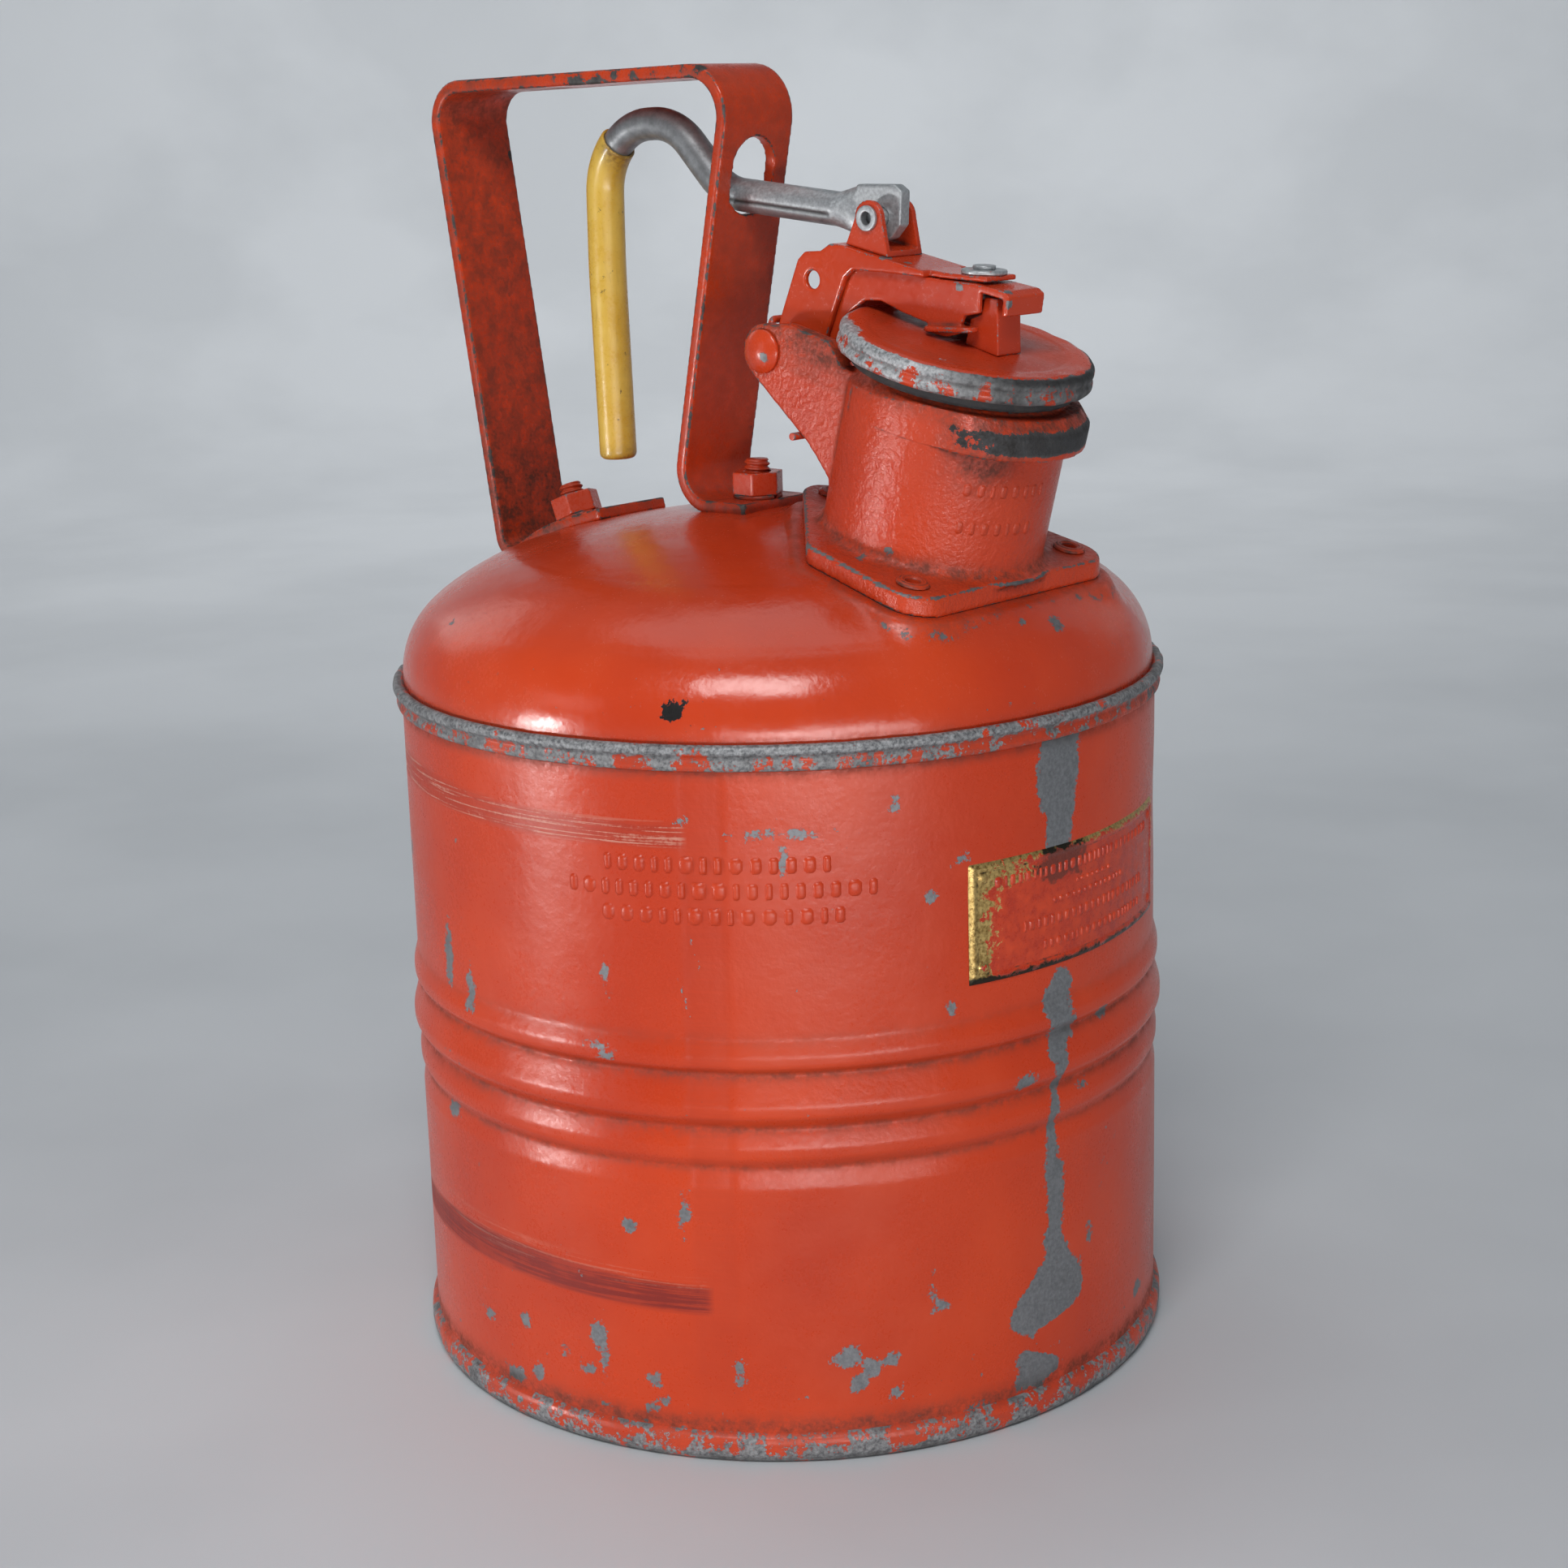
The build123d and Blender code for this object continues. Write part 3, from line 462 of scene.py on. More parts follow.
def mark_edges(obj, spread, sharp):
    """Finds convex and hollow places, stores them as wear and as grime, which in the hollows is painted shade with
    dirt, and returns them.
    """
    mesh = obj.data
    count = len(mesh.vertices)
    p = points_of(mesh)
    normal = np.empty(count * 3)
    mesh.vertex_normals.foreach_get("vector", normal)
    normal = normal.reshape(-1, 3)
    ends = np.empty(len(mesh.edges) * 2, np.int64)
    mesh.edges.foreach_get("vertices", ends)
    ends = ends.reshape(-1, 2)
    a, b = ends.T
    d = p[a] - p[b]
    square = np.maximum((d**2).sum(1), 1e-9)
    bend = mean_at_ends(ends, 2 * (normal[a] * d).sum(1) / square, -2 * (normal[b] * d).sum(1) / square, count)
    wear, hollow = unit((bend - 0.08) / sharp), unit((-bend - 0.05) / sharp)
    for _ in range(spread):
        wear = np.maximum(wear, 0.96 * mean_at_ends(ends, wear[b], wear[a], count))
        hollow = 0.5 * hollow + 0.5 * mean_at_ends(ends, hollow[b], hollow[a], count)
    # Hollows are darkened: painted shade in corners and creases, with dirt.
    paint(obj, wear=wear, grime=1.6 * hollow)
    return p, wear, hollow


def softened(node, voxel, rounds, body, material, spread, sharp):
    """A CAD node remade as one fine mesh with its edges eased, as pressed and cast parts have.

    Returns the piece, its points, and where it is convex and hollow.
    """
    work = linked("work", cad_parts[node].data.copy())
    cells = work.modifiers.new("cells", "REMESH")
    cells.mode, cells.voxel_size = "VOXEL", voxel * MM
    ease = work.modifiers.new("ease", "SMOOTH")
    ease.factor, ease.iterations = 0.5, rounds
    graph = bpy.context.evaluated_depsgraph_get()
    mesh = bpy.data.meshes.new_from_object(work.evaluated_get(graph), depsgraph=graph)
    bpy.data.objects.remove(work)
    mesh.name = node + "_skin"
    obj = adopt(linked(mesh.name, mesh), body, material, [node])
    return obj, *mark_edges(obj, spread, sharp)


def near(points, spots, soft=2.0):
    """Field that is 0.5 on the outline of spheres (x, y, z, radius) and grows inside."""
    field = np.zeros(len(points))
    for x, y, z, r in spots:
        d = np.linalg.norm(points - (x, y, z), axis=1)
        field = np.maximum(field, 0.5 + (r - d) / (2 * soft))
    return unit(field)


def waves(angle, seed, count, low, high):
    """A wavy number round 0 that closes round the circle; low and high bound its waves a turn."""
    rng = np.random.default_rng(seed)
    total = np.zeros_like(angle)
    for _ in range(count):
        turns = rng.integers(low, high)
        total += rng.uniform(0.4, 1.0) * np.sin(turns * angle + rng.uniform(0, 6.28))
    return total / math.sqrt(count)


# ---- tank ----

# Ridges: top, crown and bottom height, and how far each stands proud.
RIDGES = [(101.5, 96.5, 93.6, 1.05), (92.4, 85.0, 80.9, 1.75), (79.4, 75.0, 71.5, 0.8)]
CROWN_HALF = 1.2  # half the flat on a ridge's crown
outline = [(164.0, WALL_R)]
for top, crown, bottom, proud in RIDGES:
    outline += [(top, WALL_R), (crown + CROWN_HALF, WALL_R + proud), (crown - CROWN_HALF, WALL_R + proud)]
    outline.append((bottom, WALL_R - 0.5))
outline += [(66.5, WALL_R + 0.5), (5.6, WALL_R + 0.5)]
outline = np.array(outline)[::-1]

# Rows are closer together over the ridges.
wall_z = np.concatenate([np.arange(5.8, 64, 0.8), np.arange(64, 106, 0.36), np.arange(106, 163.4, 0.8)])
fine_z = np.arange(0, 175, 0.1)
fine_r = np.interp(fine_z, outline[:, 0], outline[:, 1])
REACH = 25  # half the smoothing kernel, in steps of fine_z
kernel = np.exp(-0.5 * (np.arange(-REACH, REACH + 1) / 4.0) ** 2)
fine_r = np.convolve(np.pad(fine_r, REACH, "edge"), kernel / kernel.sum(), "valid")
wall_r = np.interp(wall_z, fine_z, fine_r)

WALL_STEPS = 720
A, Z = np.meshgrid(circle(WALL_STEPS), wall_z)
AD = wrapped(np.degrees(A))
R = np.repeat(wall_r[:, None], WALL_STEPS, 1)
# Lapped side seam, planished flat, and the shallow hollows of a used can.
SIDE_SEAM = -58.0
across_seam = np.abs(AD - SIDE_SEAM) * PER_DEGREE
R -= 0.16 * unit((5.2 - across_seam) / 0.9)
R += 0.10 * waves(A, 3, 6, 2, 7) * np.sin(Z / 23.0) * unit((160 - Z) / 20)
DENTS = [
    (-96, 128, 16, 0.5), (-38, 60, 20, 0.35), (-14, 118, 14, 0.3), (70, 52, 18, 0.6),
    (150, 120, 22, 0.7), (-150, 40, 15, 0.5), (-86, 28, 11, 0.3), (35, 135, 12, 0.3),
]
for spot_a, spot_z, wide, deep in DENTS:
    R -= deep * lump(np.hypot(wrapped(AD - spot_a) * PER_DEGREE, Z - spot_z), wide)
wall_points = np.stack([R * np.cos(A), R * np.sin(A), Z], -1).reshape(-1, 3)
wall = build("wall_sheet", wall_points, quads(len(wall_z), WALL_STEPS), "tank", "wall", ["body_shell"])
thicken(wall)

# Paint lost down the front: height, then the left and right edge in degrees.
STRIPS = [
    [(162, -8.2, -0.3), (159.2, -8.3, -0.2), (154.6, -8.7, -0.2), (150.1, -8.7, -1.3), (145.2, -7.6, -1.5),
     (139.6, -7.0, -1.9), (132.0, -6.0, -3.6)],
    [(109.0, -5.4, -3.4), (107.8, -6.3, -2.6), (104.2, -7.4, -2.3), (99.6, -8.6, -2.6), (94.9, -7.1, -1.9),
     (89.8, -7.5, -3.2), (85.8, -7.0, -3.8), (82.5, -6.5, -5.0), (79.2, -6.5, -5.3), (74.4, -7.4, -5.2),
     (68.5, -7.7, -5.5), (62.5, -8.1, -4.9), (56.1, -7.6, -4.2), (50.1, -7.6, -4.2), (44.2, -8.1, -4.6),
     (38.8, -8.5, -3.1), (33.7, -11.6, -0.5), (29.8, -13.6, 0.3), (26.3, -15.4, -0.5), (23.8, -14.7, -2.8),
     (21.9, -12.2, -9.4), (19.3, -10.9, -10.3)],
    [(18.0, -13.0, -11.6), (16.8, -13.3, -11.3), (12.8, -13.7, -5.2), (9.9, -14.0, -5.5), (7.8, -14.1, -9.4)],
]
# Chips on the wall: (degrees, height, width, height of the chip).
CHIPS = [
    (-76.7, 26.8, 3.6, 6.2), (-78.4, 18.0, 3.2, 2.1), (-75.8, 20.0, 1.8, 5.4), (-82.9, 20.4, 1.2, 2.1),
    (-67.8, 17.8, 2.4, 2.9), (-68.7, 11.7, 2.1, 1.2), (-66.9, 13.4, 2.8, 1.2), (-55.2, 21.8, 1.5, 5.6),
    (-39.8, 25.2, 7.2, 4.6), (-36.6, 22.6, 4.4, 5.0), (-38.3, 18.4, 3.9, 4.0), (-33.8, 23.7, 4.2, 2.8),
    (-32.9, 15.1, 1.9, 2.8), (-99.9, 22.4, 3.9, 1.8), (-90.5, 25.1, 2.3, 3.4), (-92.9, 10.3, 6.9, 3.5),
    (-88.3, 12.7, 3.4, 3.8), (-27.4, 38.7, 1.2, 3.6), (-26.0, 34.6, 1.6, 1.2), (1.5, 40.0, 2.7, 3.3),
    (-1.6, 35.6, 2.5, 2.1), (-70.6, 56.3, 3.3, 2.0), (-62.5, 59.2, 2.0, 6.7), (-21.1, 7.5, 4.3, 1.6),
    (-31.6, 153.0, 2.2, 2.5), (-60.8, 151.2, 2.9, 1.8), (-47.5, 148.2, 9.5, 1.0), (-46.9, 144.1, 1.0, 4.7),
    (-72.7, 114.2, 1.6, 4.2), (-106.4, 108.4, 3.6, 14.0), (-99.8, 102.2, 3.2, 8.2), (-107.5, 70.3, 5.4, 3.3),
    (-74.3, 98.3, 3.8, 1.5), (-73.5, 96.5, 1.7, 1.0), (-12.4, 84.4, 4.3, 2.3), (-23.6, 105.7, 2.4, 3.4),
    (0.5, 78.6, 2.6, 1.2), (5.4, 93.8, 3.0, 2.0), (-26.9, 131.6, 1.9, 1.5), (-21.9, 139.0, 2.8, 1.8),
    (40, 22, 6, 5), (62, 96, 5, 3), (88, 14, 9, 5), (120, 60, 4, 9), (145, 24, 7, 6), (171, 86, 8, 2.5),
    (-168, 18, 6, 5), (-141, 70, 4, 6), (-126, 128, 5, 3), (104, 132, 4, 5), (18, 16, 5, 3),
]
FALL = 5.0  # millimetres across an outline over which bare goes from 0 to 1
UNDER_SEAM = 4  # how far the top strip carries on under the rolled seam
bare = np.zeros_like(A)
for strip in STRIPS:
    at = np.array(strip)[::-1]
    left, right = np.interp(Z, at[:, 0], at[:, 1]), np.interp(Z, at[:, 0], at[:, 2])
    inside = np.minimum(AD - left, right - AD) * PER_DEGREE
    above = UNDER_SEAM if strip is STRIPS[0] else 0
    inside = np.minimum(inside, np.minimum(Z - at[0, 0], at[-1, 0] - Z + above))
    bare = np.maximum(bare, 0.5 + inside / FALL)
for spot_a, spot_z, wide, tall in CHIPS:
    gap = wrapped(AD - spot_a) * PER_DEGREE
    small = min(wide, tall) / 2
    inside = small * (1 - np.sqrt((2 * gap / wide) ** 2 + (2 * (Z - spot_z) / tall) ** 2))
    bare = np.maximum(bare, 0.54 + inside / FALL)

# Fine scratches, each a broken line through (degrees, height).
SCRATCHES = [
    [(-99.4, 143), (-103, 137), (-106, 130)], [(-101.6, 67), (-99.6, 58), (-95.5, 47)],
    [(-92, 70), (-88, 66), (-83, 64)],
    [(-6, 50), (3, 60), (8.5, 67), (9.5, 58), (4, 50)], [(-5, 57), (2, 53), (9, 61)], [(-62, 116), (-60, 104)],
    [(-60.5, 128), (-58, 112), (-56.5, 104)], [(-44, 120), (-47, 108)], [(100, 120), (110, 90), (108, 60)],
    [(150, 140), (160, 128)], [(-160, 60), (-150, 48)], [(-84, 50), (-79, 41)],
]
for line in SCRATCHES:
    for (a0, z0), (a1, z1) in zip(line, line[1:]):
        x, y = (AD - a0) * PER_DEGREE, Z - z0
        dx, dy = (a1 - a0) * PER_DEGREE, z1 - z0
        t = unit((x * dx + y * dy) / (dx * dx + dy * dy))
        bare = np.maximum(bare, 0.46 - np.hypot(x - t * dx, y - t * dy) / 2.4)


def band(angles, lows, highs, soft):
    """1 inside a band on the wall whose edges are given at some angles."""
    low, high = np.interp(AD, angles, lows), np.interp(AD, angles, highs)
    ends = unit((AD - angles[0]) / 4) * unit((angles[-1] - AD) / 1.2)
    return unit((Z - low) / soft) * unit((high - Z) / soft) * ends


# Two dark rub marks and the scraped band above; the lapped seam is a little darker too.
scuff = 0.95 * band([-134, -110, -90, -73, -58.5], [34, 35.9, 36.6, 36.0, 35.6], [41, 44.2, 44.9, 43.6, 42.6], 0.9)
scrape = 0.35 * band([-134, -110, -90, -73, -58.5], [38, 40.4, 41.0, 40.6, 40.5], [47, 48.2, 47.6, 46.2, 45.0], 1.6)
rubbed = band([-150, -117, -90, -60], [145.6, 146.0, 144.6, 144.6], [154, 154.2, 151.8, 151.2], 1.4)
scuff = np.maximum(scuff, 0.42 * rubbed)
scrape = np.maximum(scrape, rubbed)
scuff = np.maximum(scuff, 0.13 * unit((6.0 - across_seam) / 2.0) * lump(Z - 110, 90))
zone = 0.9 * unit((46 - Z) / 40) + 0.6 * lump(Z - 85, 7) + 0.4 * lump(AD + 40, 22) * lump(Z - 145, 14)
# Darker at the foot from dirt; painted shadow under each ridge's crown, and painted shade, fainter, at its upper
# root and just below the rolled seam.
grime = 0.8 * unit((13 - Z) / 7) + lump(Z - 8.4, 1.5) + 0.8 * unit((Z - 159.5) / 3)
for top, crown, bottom, proud in RIDGES:
    grime += 0.75 * lump(Z - bottom + 0.2, 1.0) + 0.25 * lump(Z - top, 1.4)
paint(wall, bare=bare, scuff=scuff, scrape=scrape, zone=zone, grime=grime)


def on_wall(s, z, lift, at):
    """Points lift millimetres off the wall; s is the arc from the angle at, in degrees."""
    a = math.radians(at) + s / WALL_R
    r = np.interp(z, fine_z, fine_r) + lift
    return np.stack([r * np.cos(a), r * np.sin(a), z], -1)


SUNK = 0.08  # depth of a bar's edge below the surface that it stands on


def raised_bars(name, bars, surface, height, body, material):
    """Pillow-shaped bars (centre s, centre t, width, height) pressed up out of a surface."""
    points, faces = [], []
    for s, t, wide, tall in bars:
        rows, cols = max(9, int(tall / 0.3)), max(9, int(wide / 0.3))
        u, v = np.meshgrid(np.linspace(-1, 1, cols), np.linspace(-1, 1, rows))
        inset = min(wide, tall) / 2
        dx, dy = (1 - np.abs(u)) * wide / 2, (1 - np.abs(v)) * tall / 2
        corner = inset - np.hypot(np.clip(inset - dx, 0, None), np.clip(inset - dy, 0, None))
        full = np.sqrt(unit(1 - (1 - unit(corner / inset)) ** 2))
        lift = -SUNK + (height + SUNK) * full
        grid = surface(s + u * wide / 2, t + v * tall / 2, lift).reshape(-1, 3)
        faces += quads(rows, cols, wrap=False, offset=sum(len(p) for p in points))
        points.append(grid)
    return build(name, np.concatenate(points), faces, body, material)


def bar_row(start, end, t, tall, seed, gap, low, high):
    """A row of plain bars of differing widths."""
    rng = np.random.default_rng(seed)
    bars, s = [], start
    while s < end - low:
        wide = min(rng.uniform(low, high), end - s)
        bars.append((s + wide / 2, t, wide, tall))
        s += wide + gap
    return bars


# Pressed rows on the front, kept to plain bars.
PRESSED_MID = -55.5
bars = []
for start, end, t, seed in [(-27, 24, 141.4, 11), (-36, 36, 135.6, 12), (-28, 28, 129.8, 13)]:
    bars += bar_row(start, end, t, 3.9, seed, 1.4, 1.6, 3.4)
raised_bars("pressed_bars", bars, lambda s, z, h: on_wall(s, z, h, PRESSED_MID), 0.55, "tank", "wall")

# ---- dome: three tangent arcs, drawn up to the flat seat under the spout ----

ARC_STEP = 0.8


def arc(centre, radius, start, end):
    count = max(6, int(abs(end - start) * radius / ARC_STEP))
    angles = np.linspace(start, end, count)
    return np.stack([centre[0] + radius * np.cos(angles), centre[1] + radius * np.sin(angles)], -1)


crown_tilt = math.atan2(SHOULDER_C[1] - CROWN_C[1], SHOULDER_C[0] - CROWN_C[0])
knuckle_tilt = math.atan2(KNUCKLE_C[1] - SHOULDER_C[1], KNUCKLE_C[0] - SHOULDER_C[0])
dome_line = np.concatenate([
    arc(CROWN_C, CROWN_R, math.pi / 2 - 0.0005, crown_tilt)[:-1],
    arc(SHOULDER_C, SHOULDER_R, crown_tilt, knuckle_tilt)[:-1],
    arc(KNUCKLE_C, KNUCKLE_R, knuckle_tilt, 0.0),
    [(DOME_R, 168.4), (DOME_R, 167.4), (DOME_R, 166.0)],
])
DOME_STEPS = 660
dome_points, dome_faces = turned(dome_line, DOME_STEPS)
SEAT = -5.5  # the seat's height on the spout's axis
# The flange's outline goes round these circles: (along, across), radius.
LOBES = [((19.0, 27.5), 10.0), ((19.0, -27.5), 10.0), ((-6.0, 28.6), 6.4), ((-6.0, -28.6), 6.4), ((-30.0, 0.0), 9.0)]


def hull_distance(u, v):
    """Signed distance in the flange's plane to the outline round its lobes."""
    around = np.stack([np.cos(circle(48)), np.sin(circle(48))], -1)
    ring = np.concatenate([centre + r * around for centre, r in LOBES])
    best = np.full(u.shape, -np.inf)
    for a in circle(96):
        reach = (ring @ (math.cos(a), math.sin(a))).max()
        best = np.maximum(best, u * math.cos(a) + v * math.sin(a) - reach)
    return best


def by_spout(points):
    """Height on the spout's axis, and the offsets along and across from it."""
    local = points - SPOUT_O
    return local @ SPOUT_N, local @ SPOUT_A, local[:, 1]


# The sheet is flat under the flange, slopes away beyond it and runs out into the dome.
SLOPE, EASE = 1.35, 1.6
over, u, v = by_spout(dome_points)
over -= SEAT
beyond = np.clip(hull_distance(u, v), 0, None)
skirt = -SLOPE * np.clip(beyond - 0.6, 0, None)
meet = 0.5 * (over + skirt + np.sqrt((over - skirt) ** 2 + EASE**2)) - 0.5 * EASE * lump(beyond, 1.5)
lifted = smooth(unit(beyond / 2.2)) * meet
far = unit((beyond - 8) / 8)
lifted = (1 - far) * lifted + far * over
off_axis = np.hypot(u, v)
DRAWN_R, HOLE_R = 60, 24
dome_points = np.where(off_axis[:, None] < DRAWN_R, dome_points + SPOUT_N * (lifted - over)[:, None], dome_points)
low_dent = 0.35 * lump(np.linalg.norm(dome_points - (-62, -48, 188), axis=1), 18)
low_dent += 0.3 * lump(np.linalg.norm(dome_points - (10, 62, 196), axis=1), 16)
dome_points[:, 2] -= low_dent
kept = np.array(dome_faces)
kept = kept[off_axis[kept[:, 0]] >= HOLE_R]
used = np.unique(kept)
index = np.full(len(dome_points), -1)
index[used] = np.arange(len(used))
dome_faces = index[kept].tolist()
dome_faces.append(index[:DOME_STEPS][::-1].tolist())
dome_points = dome_points[used]
dome = build("dome_sheet", dome_points, dome_faces, "tank", "dome", ["dome_top"])
thicken(dome)
beyond = beyond[used]
dome_angle = np.arctan2(dome_points[:, 1], dome_points[:, 0])
# One chip shows black below the paint; the others are bare metal.
BLACK_CHIP = [(42.8, -79.1, 175.3, 2.1), (44.8, -77.4, 176.6, 0.9), (41.4, -80.6, 174.0, 0.7)]
dome_bare = near(dome_points, BLACK_CHIP + [
    (84, 2, 186, 2.4), (82, -8, 187, 1.0),
    (71, -36, 186, 1.2), (60, -45, 190, 0.8), (-30, -78, 186, 0.9), (-74, 20, 186, 2.2), (-40, 70, 188, 2.6),
    (20, 82, 184, 1.6), (-84, -16, 180, 1.4), (12, -86, 178, 0.8), (-12, -88, 172, 1.2), (56, 66, 183, 2.0),
])
flange_edge = lump(beyond - 2.4, 1.8) * (0.42 + 0.16 * waves(dome_angle, 21, 9, 3, 40))
front = unit((dome_points[:, 0] - 40) / 30)
paint(
    dome,
    bare=np.maximum(dome_bare, unit(flange_edge) * (0.35 + 0.65 * front)),
    grime=0.9 * lump(beyond, 3.0) + 0.9 * unit((170 - dome_points[:, 2]) / 3),
    soot=2 * near(dome_points, [(x, y, z, r + 3) for x, y, z, r in BLACK_CHIP]),
    zone=0.6 * unit((196 - dome_points[:, 2]) / 20),
)

# ---- rolled seam over the wall and the dome ----
seam_line = rounded(
    [(91.2, 163.2), (92.6, 162.4), (93.5, 162.7), (93.7, 163.6), (93.3, 165.2), (93.6, 165.9), (94.3, 166.4),
     (94.45, 167.2), (94.1, 168.1), (93.2, 168.55), (92.2, 168.3), (91.6, 167.6), (90.95, 167.4), (90.9, 165.0)],
    0.5, 0.24,
)
SEAM_STEPS = 900
seam_points, seam_faces = turned(seam_line, SEAM_STEPS)
seam_angle, seam_r, seam_z = places(seam_line, SEAM_STEPS)
knock = 0.10 * waves(seam_angle, 5, 12, 9, 90) * unit((seam_r - 91.5) / 1.5)
seam_points[:, :2] *= ((seam_r - 0.12 + 0.7 * knock) / seam_r)[:, None]
seam_points[:, 2] += 0.8 * knock
seam = build("rolled_seam", seam_points, seam_faces, "tank", "seam", ["top_seam"])
bead = unit((seam_z - 165.6) / 1.0)
side = wrapped(np.degrees(seam_angle))
seam_bare = 0.44 + 0.24 * bead + 0.13 * waves(seam_angle, 6, 14, 4, 60) - 0.25 * (seam_r < 92.4)
seam_bare += 0.14 * lump(side + 62, 26) + 0.12 * lump(side + 110, 30)
# Grime over the seam, less on the side round -50 degrees; the band below the bead gets more, which is painted shade
# under the bead.
paint(seam, bare=seam_bare, grime=0.55 + 0.35 * (1 - bead) - 0.45 * lump(side + 50, 60), zone=0.6)

# ---- curled foot ----
foot_line = rounded(
    [(92.3, 7.4), (93.2, 6.9), (94.0, 6.2), (94.4, 5.0), (94.4, 2.2), (93.9, 0.9), (92.9, 0.1), (91.9, 0.3),
     (91.3, 1.3), (91.2, 3.5)],
    0.6, 0.3,
)
foot_points, foot_faces = turned(foot_line, SEAM_STEPS)
foot_angle, foot_r, foot_z = places(foot_line, SEAM_STEPS)
knock = 0.10 * waves(foot_angle, 8, 12, 7, 80) * (foot_z > 0.5)
foot_points[:, :2] *= ((foot_r - 0.14 + 0.7 * knock) / foot_r)[:, None]
foot_ring = build("curled_foot", foot_points, foot_faces, "tank", "seam", ["bottom_rim"])
foot_bare = 0.50 + 0.14 * waves(foot_angle, 9, 14, 3, 50)
foot_bare += 0.2 * lump(foot_z - 1.2, 1.6) - 0.05 * lump(foot_z - 5.5, 1.0)
paint(foot_ring, bare=foot_bare, grime=0.35 + 0.5 * (foot_z < 1.6) + 0.4 * lump(foot_z - 7, 0.8), zone=1)

# ---- plate ----

PLATE_MID, PLATE_ARC = 2.5, 47.0 * PER_DEGREE
PLATE_LOW, PLATE_HIGH = 109.7, 137.6
PLATE_ROWS, PLATE_COLS = 74, 190
S, T = np.meshgrid(
    np.linspace(-PLATE_ARC / 2, PLATE_ARC / 2, PLATE_COLS), np.linspace(PLATE_LOW, PLATE_HIGH, PLATE_ROWS)
)
inset = np.minimum(PLATE_ARC / 2 - np.abs(S), np.minimum(T - PLATE_LOW, PLATE_HIGH - T))
lift = 0.30 * unit(inset / 0.35) + 0.34 * lump(inset - 1.3, 0.55) - 0.05
PIN_IN, PIN_R = 3.6, 1.3
for pin_s in (PIN_IN - PLATE_ARC / 2, PLATE_ARC / 2 - PIN_IN):
    for pin_z in (PLATE_HIGH - PIN_IN, PLATE_LOW + PIN_IN):
        away = np.hypot(S - pin_s, T - pin_z)
        lift += 0.55 * np.sqrt(unit(1 - (away / PIN_R) ** 2))
lift += 0.05 * np.sin(S / 5.1 + T / 7.7)
plate_points = on_wall(S, T, lift, PLATE_MID).reshape(-1, 3)
plate_faces = quads(PLATE_ROWS, PLATE_COLS, wrap=False)
plate = build("maker_plate", plate_points, plate_faces, "tank", "brass", ["name_plate"])
# Brass shows at the left end, the top and the rim; it is black along the foot and in the middle.
left = S + PLATE_ARC / 2
shows = 0.80 - 0.05 * left - 0.03 * np.abs(T - 127) * (left > 9)
shows = np.maximum(shows, 0.62 - 0.016 * np.clip(left - 8, 0, 60) - 0.10 * np.clip(132.2 - T, 0, 40))
shows = np.maximum(shows, 0.72 - 0.2 * inset)
shows = np.maximum(shows, 0.75 - 0.18 * (T - PLATE_LOW) - 0.004 * left)
black = 0.80 - 0.22 * (T - PLATE_LOW - 0.4)
black = np.maximum(black, 0.95 - 0.05 * np.hypot(left - 27, (T - 134) * 1.7))
black = np.maximum(black, 0.55 * lump(inset - 2.2, 0.5))
paint(plate, bare=shows, grime=black)
bars = []
for start, end, t, tall, seed in [
    (-31, 31, 132.4, 2.6, 31), (-6, 8, 128.2, 1.2, 32), (-14, 14, 125.2, 1.6, 33), (-23, 27, 120.8, 2.7, 34),
    (-17, 26, 115.4, 2.3, 35),
]:
    bars += bar_row(start, end, t, tall, seed, 0.8, 0.8, 1.9)
plate_bars = raised_bars(
    "plate_bars", bars, lambda s, z, h: on_wall(s, z, h + 0.25, PLATE_MID), 0.32, "tank", "brass"
)
bar_points = points_of(plate_bars.data)
bar_s = (np.degrees(np.arctan2(bar_points[:, 1], bar_points[:, 0])) - PLATE_MID) * PER_DEGREE
paint(plate_bars, bare=0.66 - 0.055 * (bar_s + PLATE_ARC / 2), grime=0.30)

# ---- spout ----

NECK_R = 25.7
casting, p, _, _ = softened("spout_casting", 0.42, 5, "tank", "cast", 3, 0.5)
height, u, v = by_spout(p)
# The lip swells out of the neck, fully only in front.
reach, turn = np.hypot(u, v), np.abs(np.arctan2(v, u))
fade = 1 - 0.97 * smooth(unit((turn - 0.62) / 0.55))
lipped = (height > 27.0) & (height < 37.5) & (reach > NECK_R) & (np.abs(v) < 29) & (u > -14)
target = np.where(lipped, NECK_R + (reach - NECK_R) * fade, reach)
outward = u[:, None] * SPOUT_A + v[:, None] * ACROSS
move_points(casting, p + (target / np.maximum(reach, 1) - 1)[:, None] * outward)
p, wear, hollow = mark_edges(casting, 3, 0.5)
height, u, v = by_spout(p)
lip = unit((height - 29.5) / 1.5) * unit((np.hypot(u, v) - 25.9) / 0.8)
low_lip = unit((36.6 - height) / 2.0)
lip_bare = lip * low_lip * np.clip(0.32 + 0.030 * (u + 0.25 * v - 6), 0, 0.95)
# Painted shade on the top of the neck, under the cap.
under_cap_shade = unit((height - 33) / 4)
casting_bare = np.maximum(near(p, [
    (52.5, -28.0, 203.0, 1.6), (57.7, -24.0, 204.0, 1.0), (74, -26.5, 194, 1.2), (40, -32, 203.5, 1.4),
    (82.5, -10, 193.5, 1.2), (66, -25, 200, 0.9), (31, -24.5, 206.3, 1.0),
], 1.6), lip_bare)
flange_rim = unit(1 - np.abs(height + 0.6) / 2.0) * 0.22
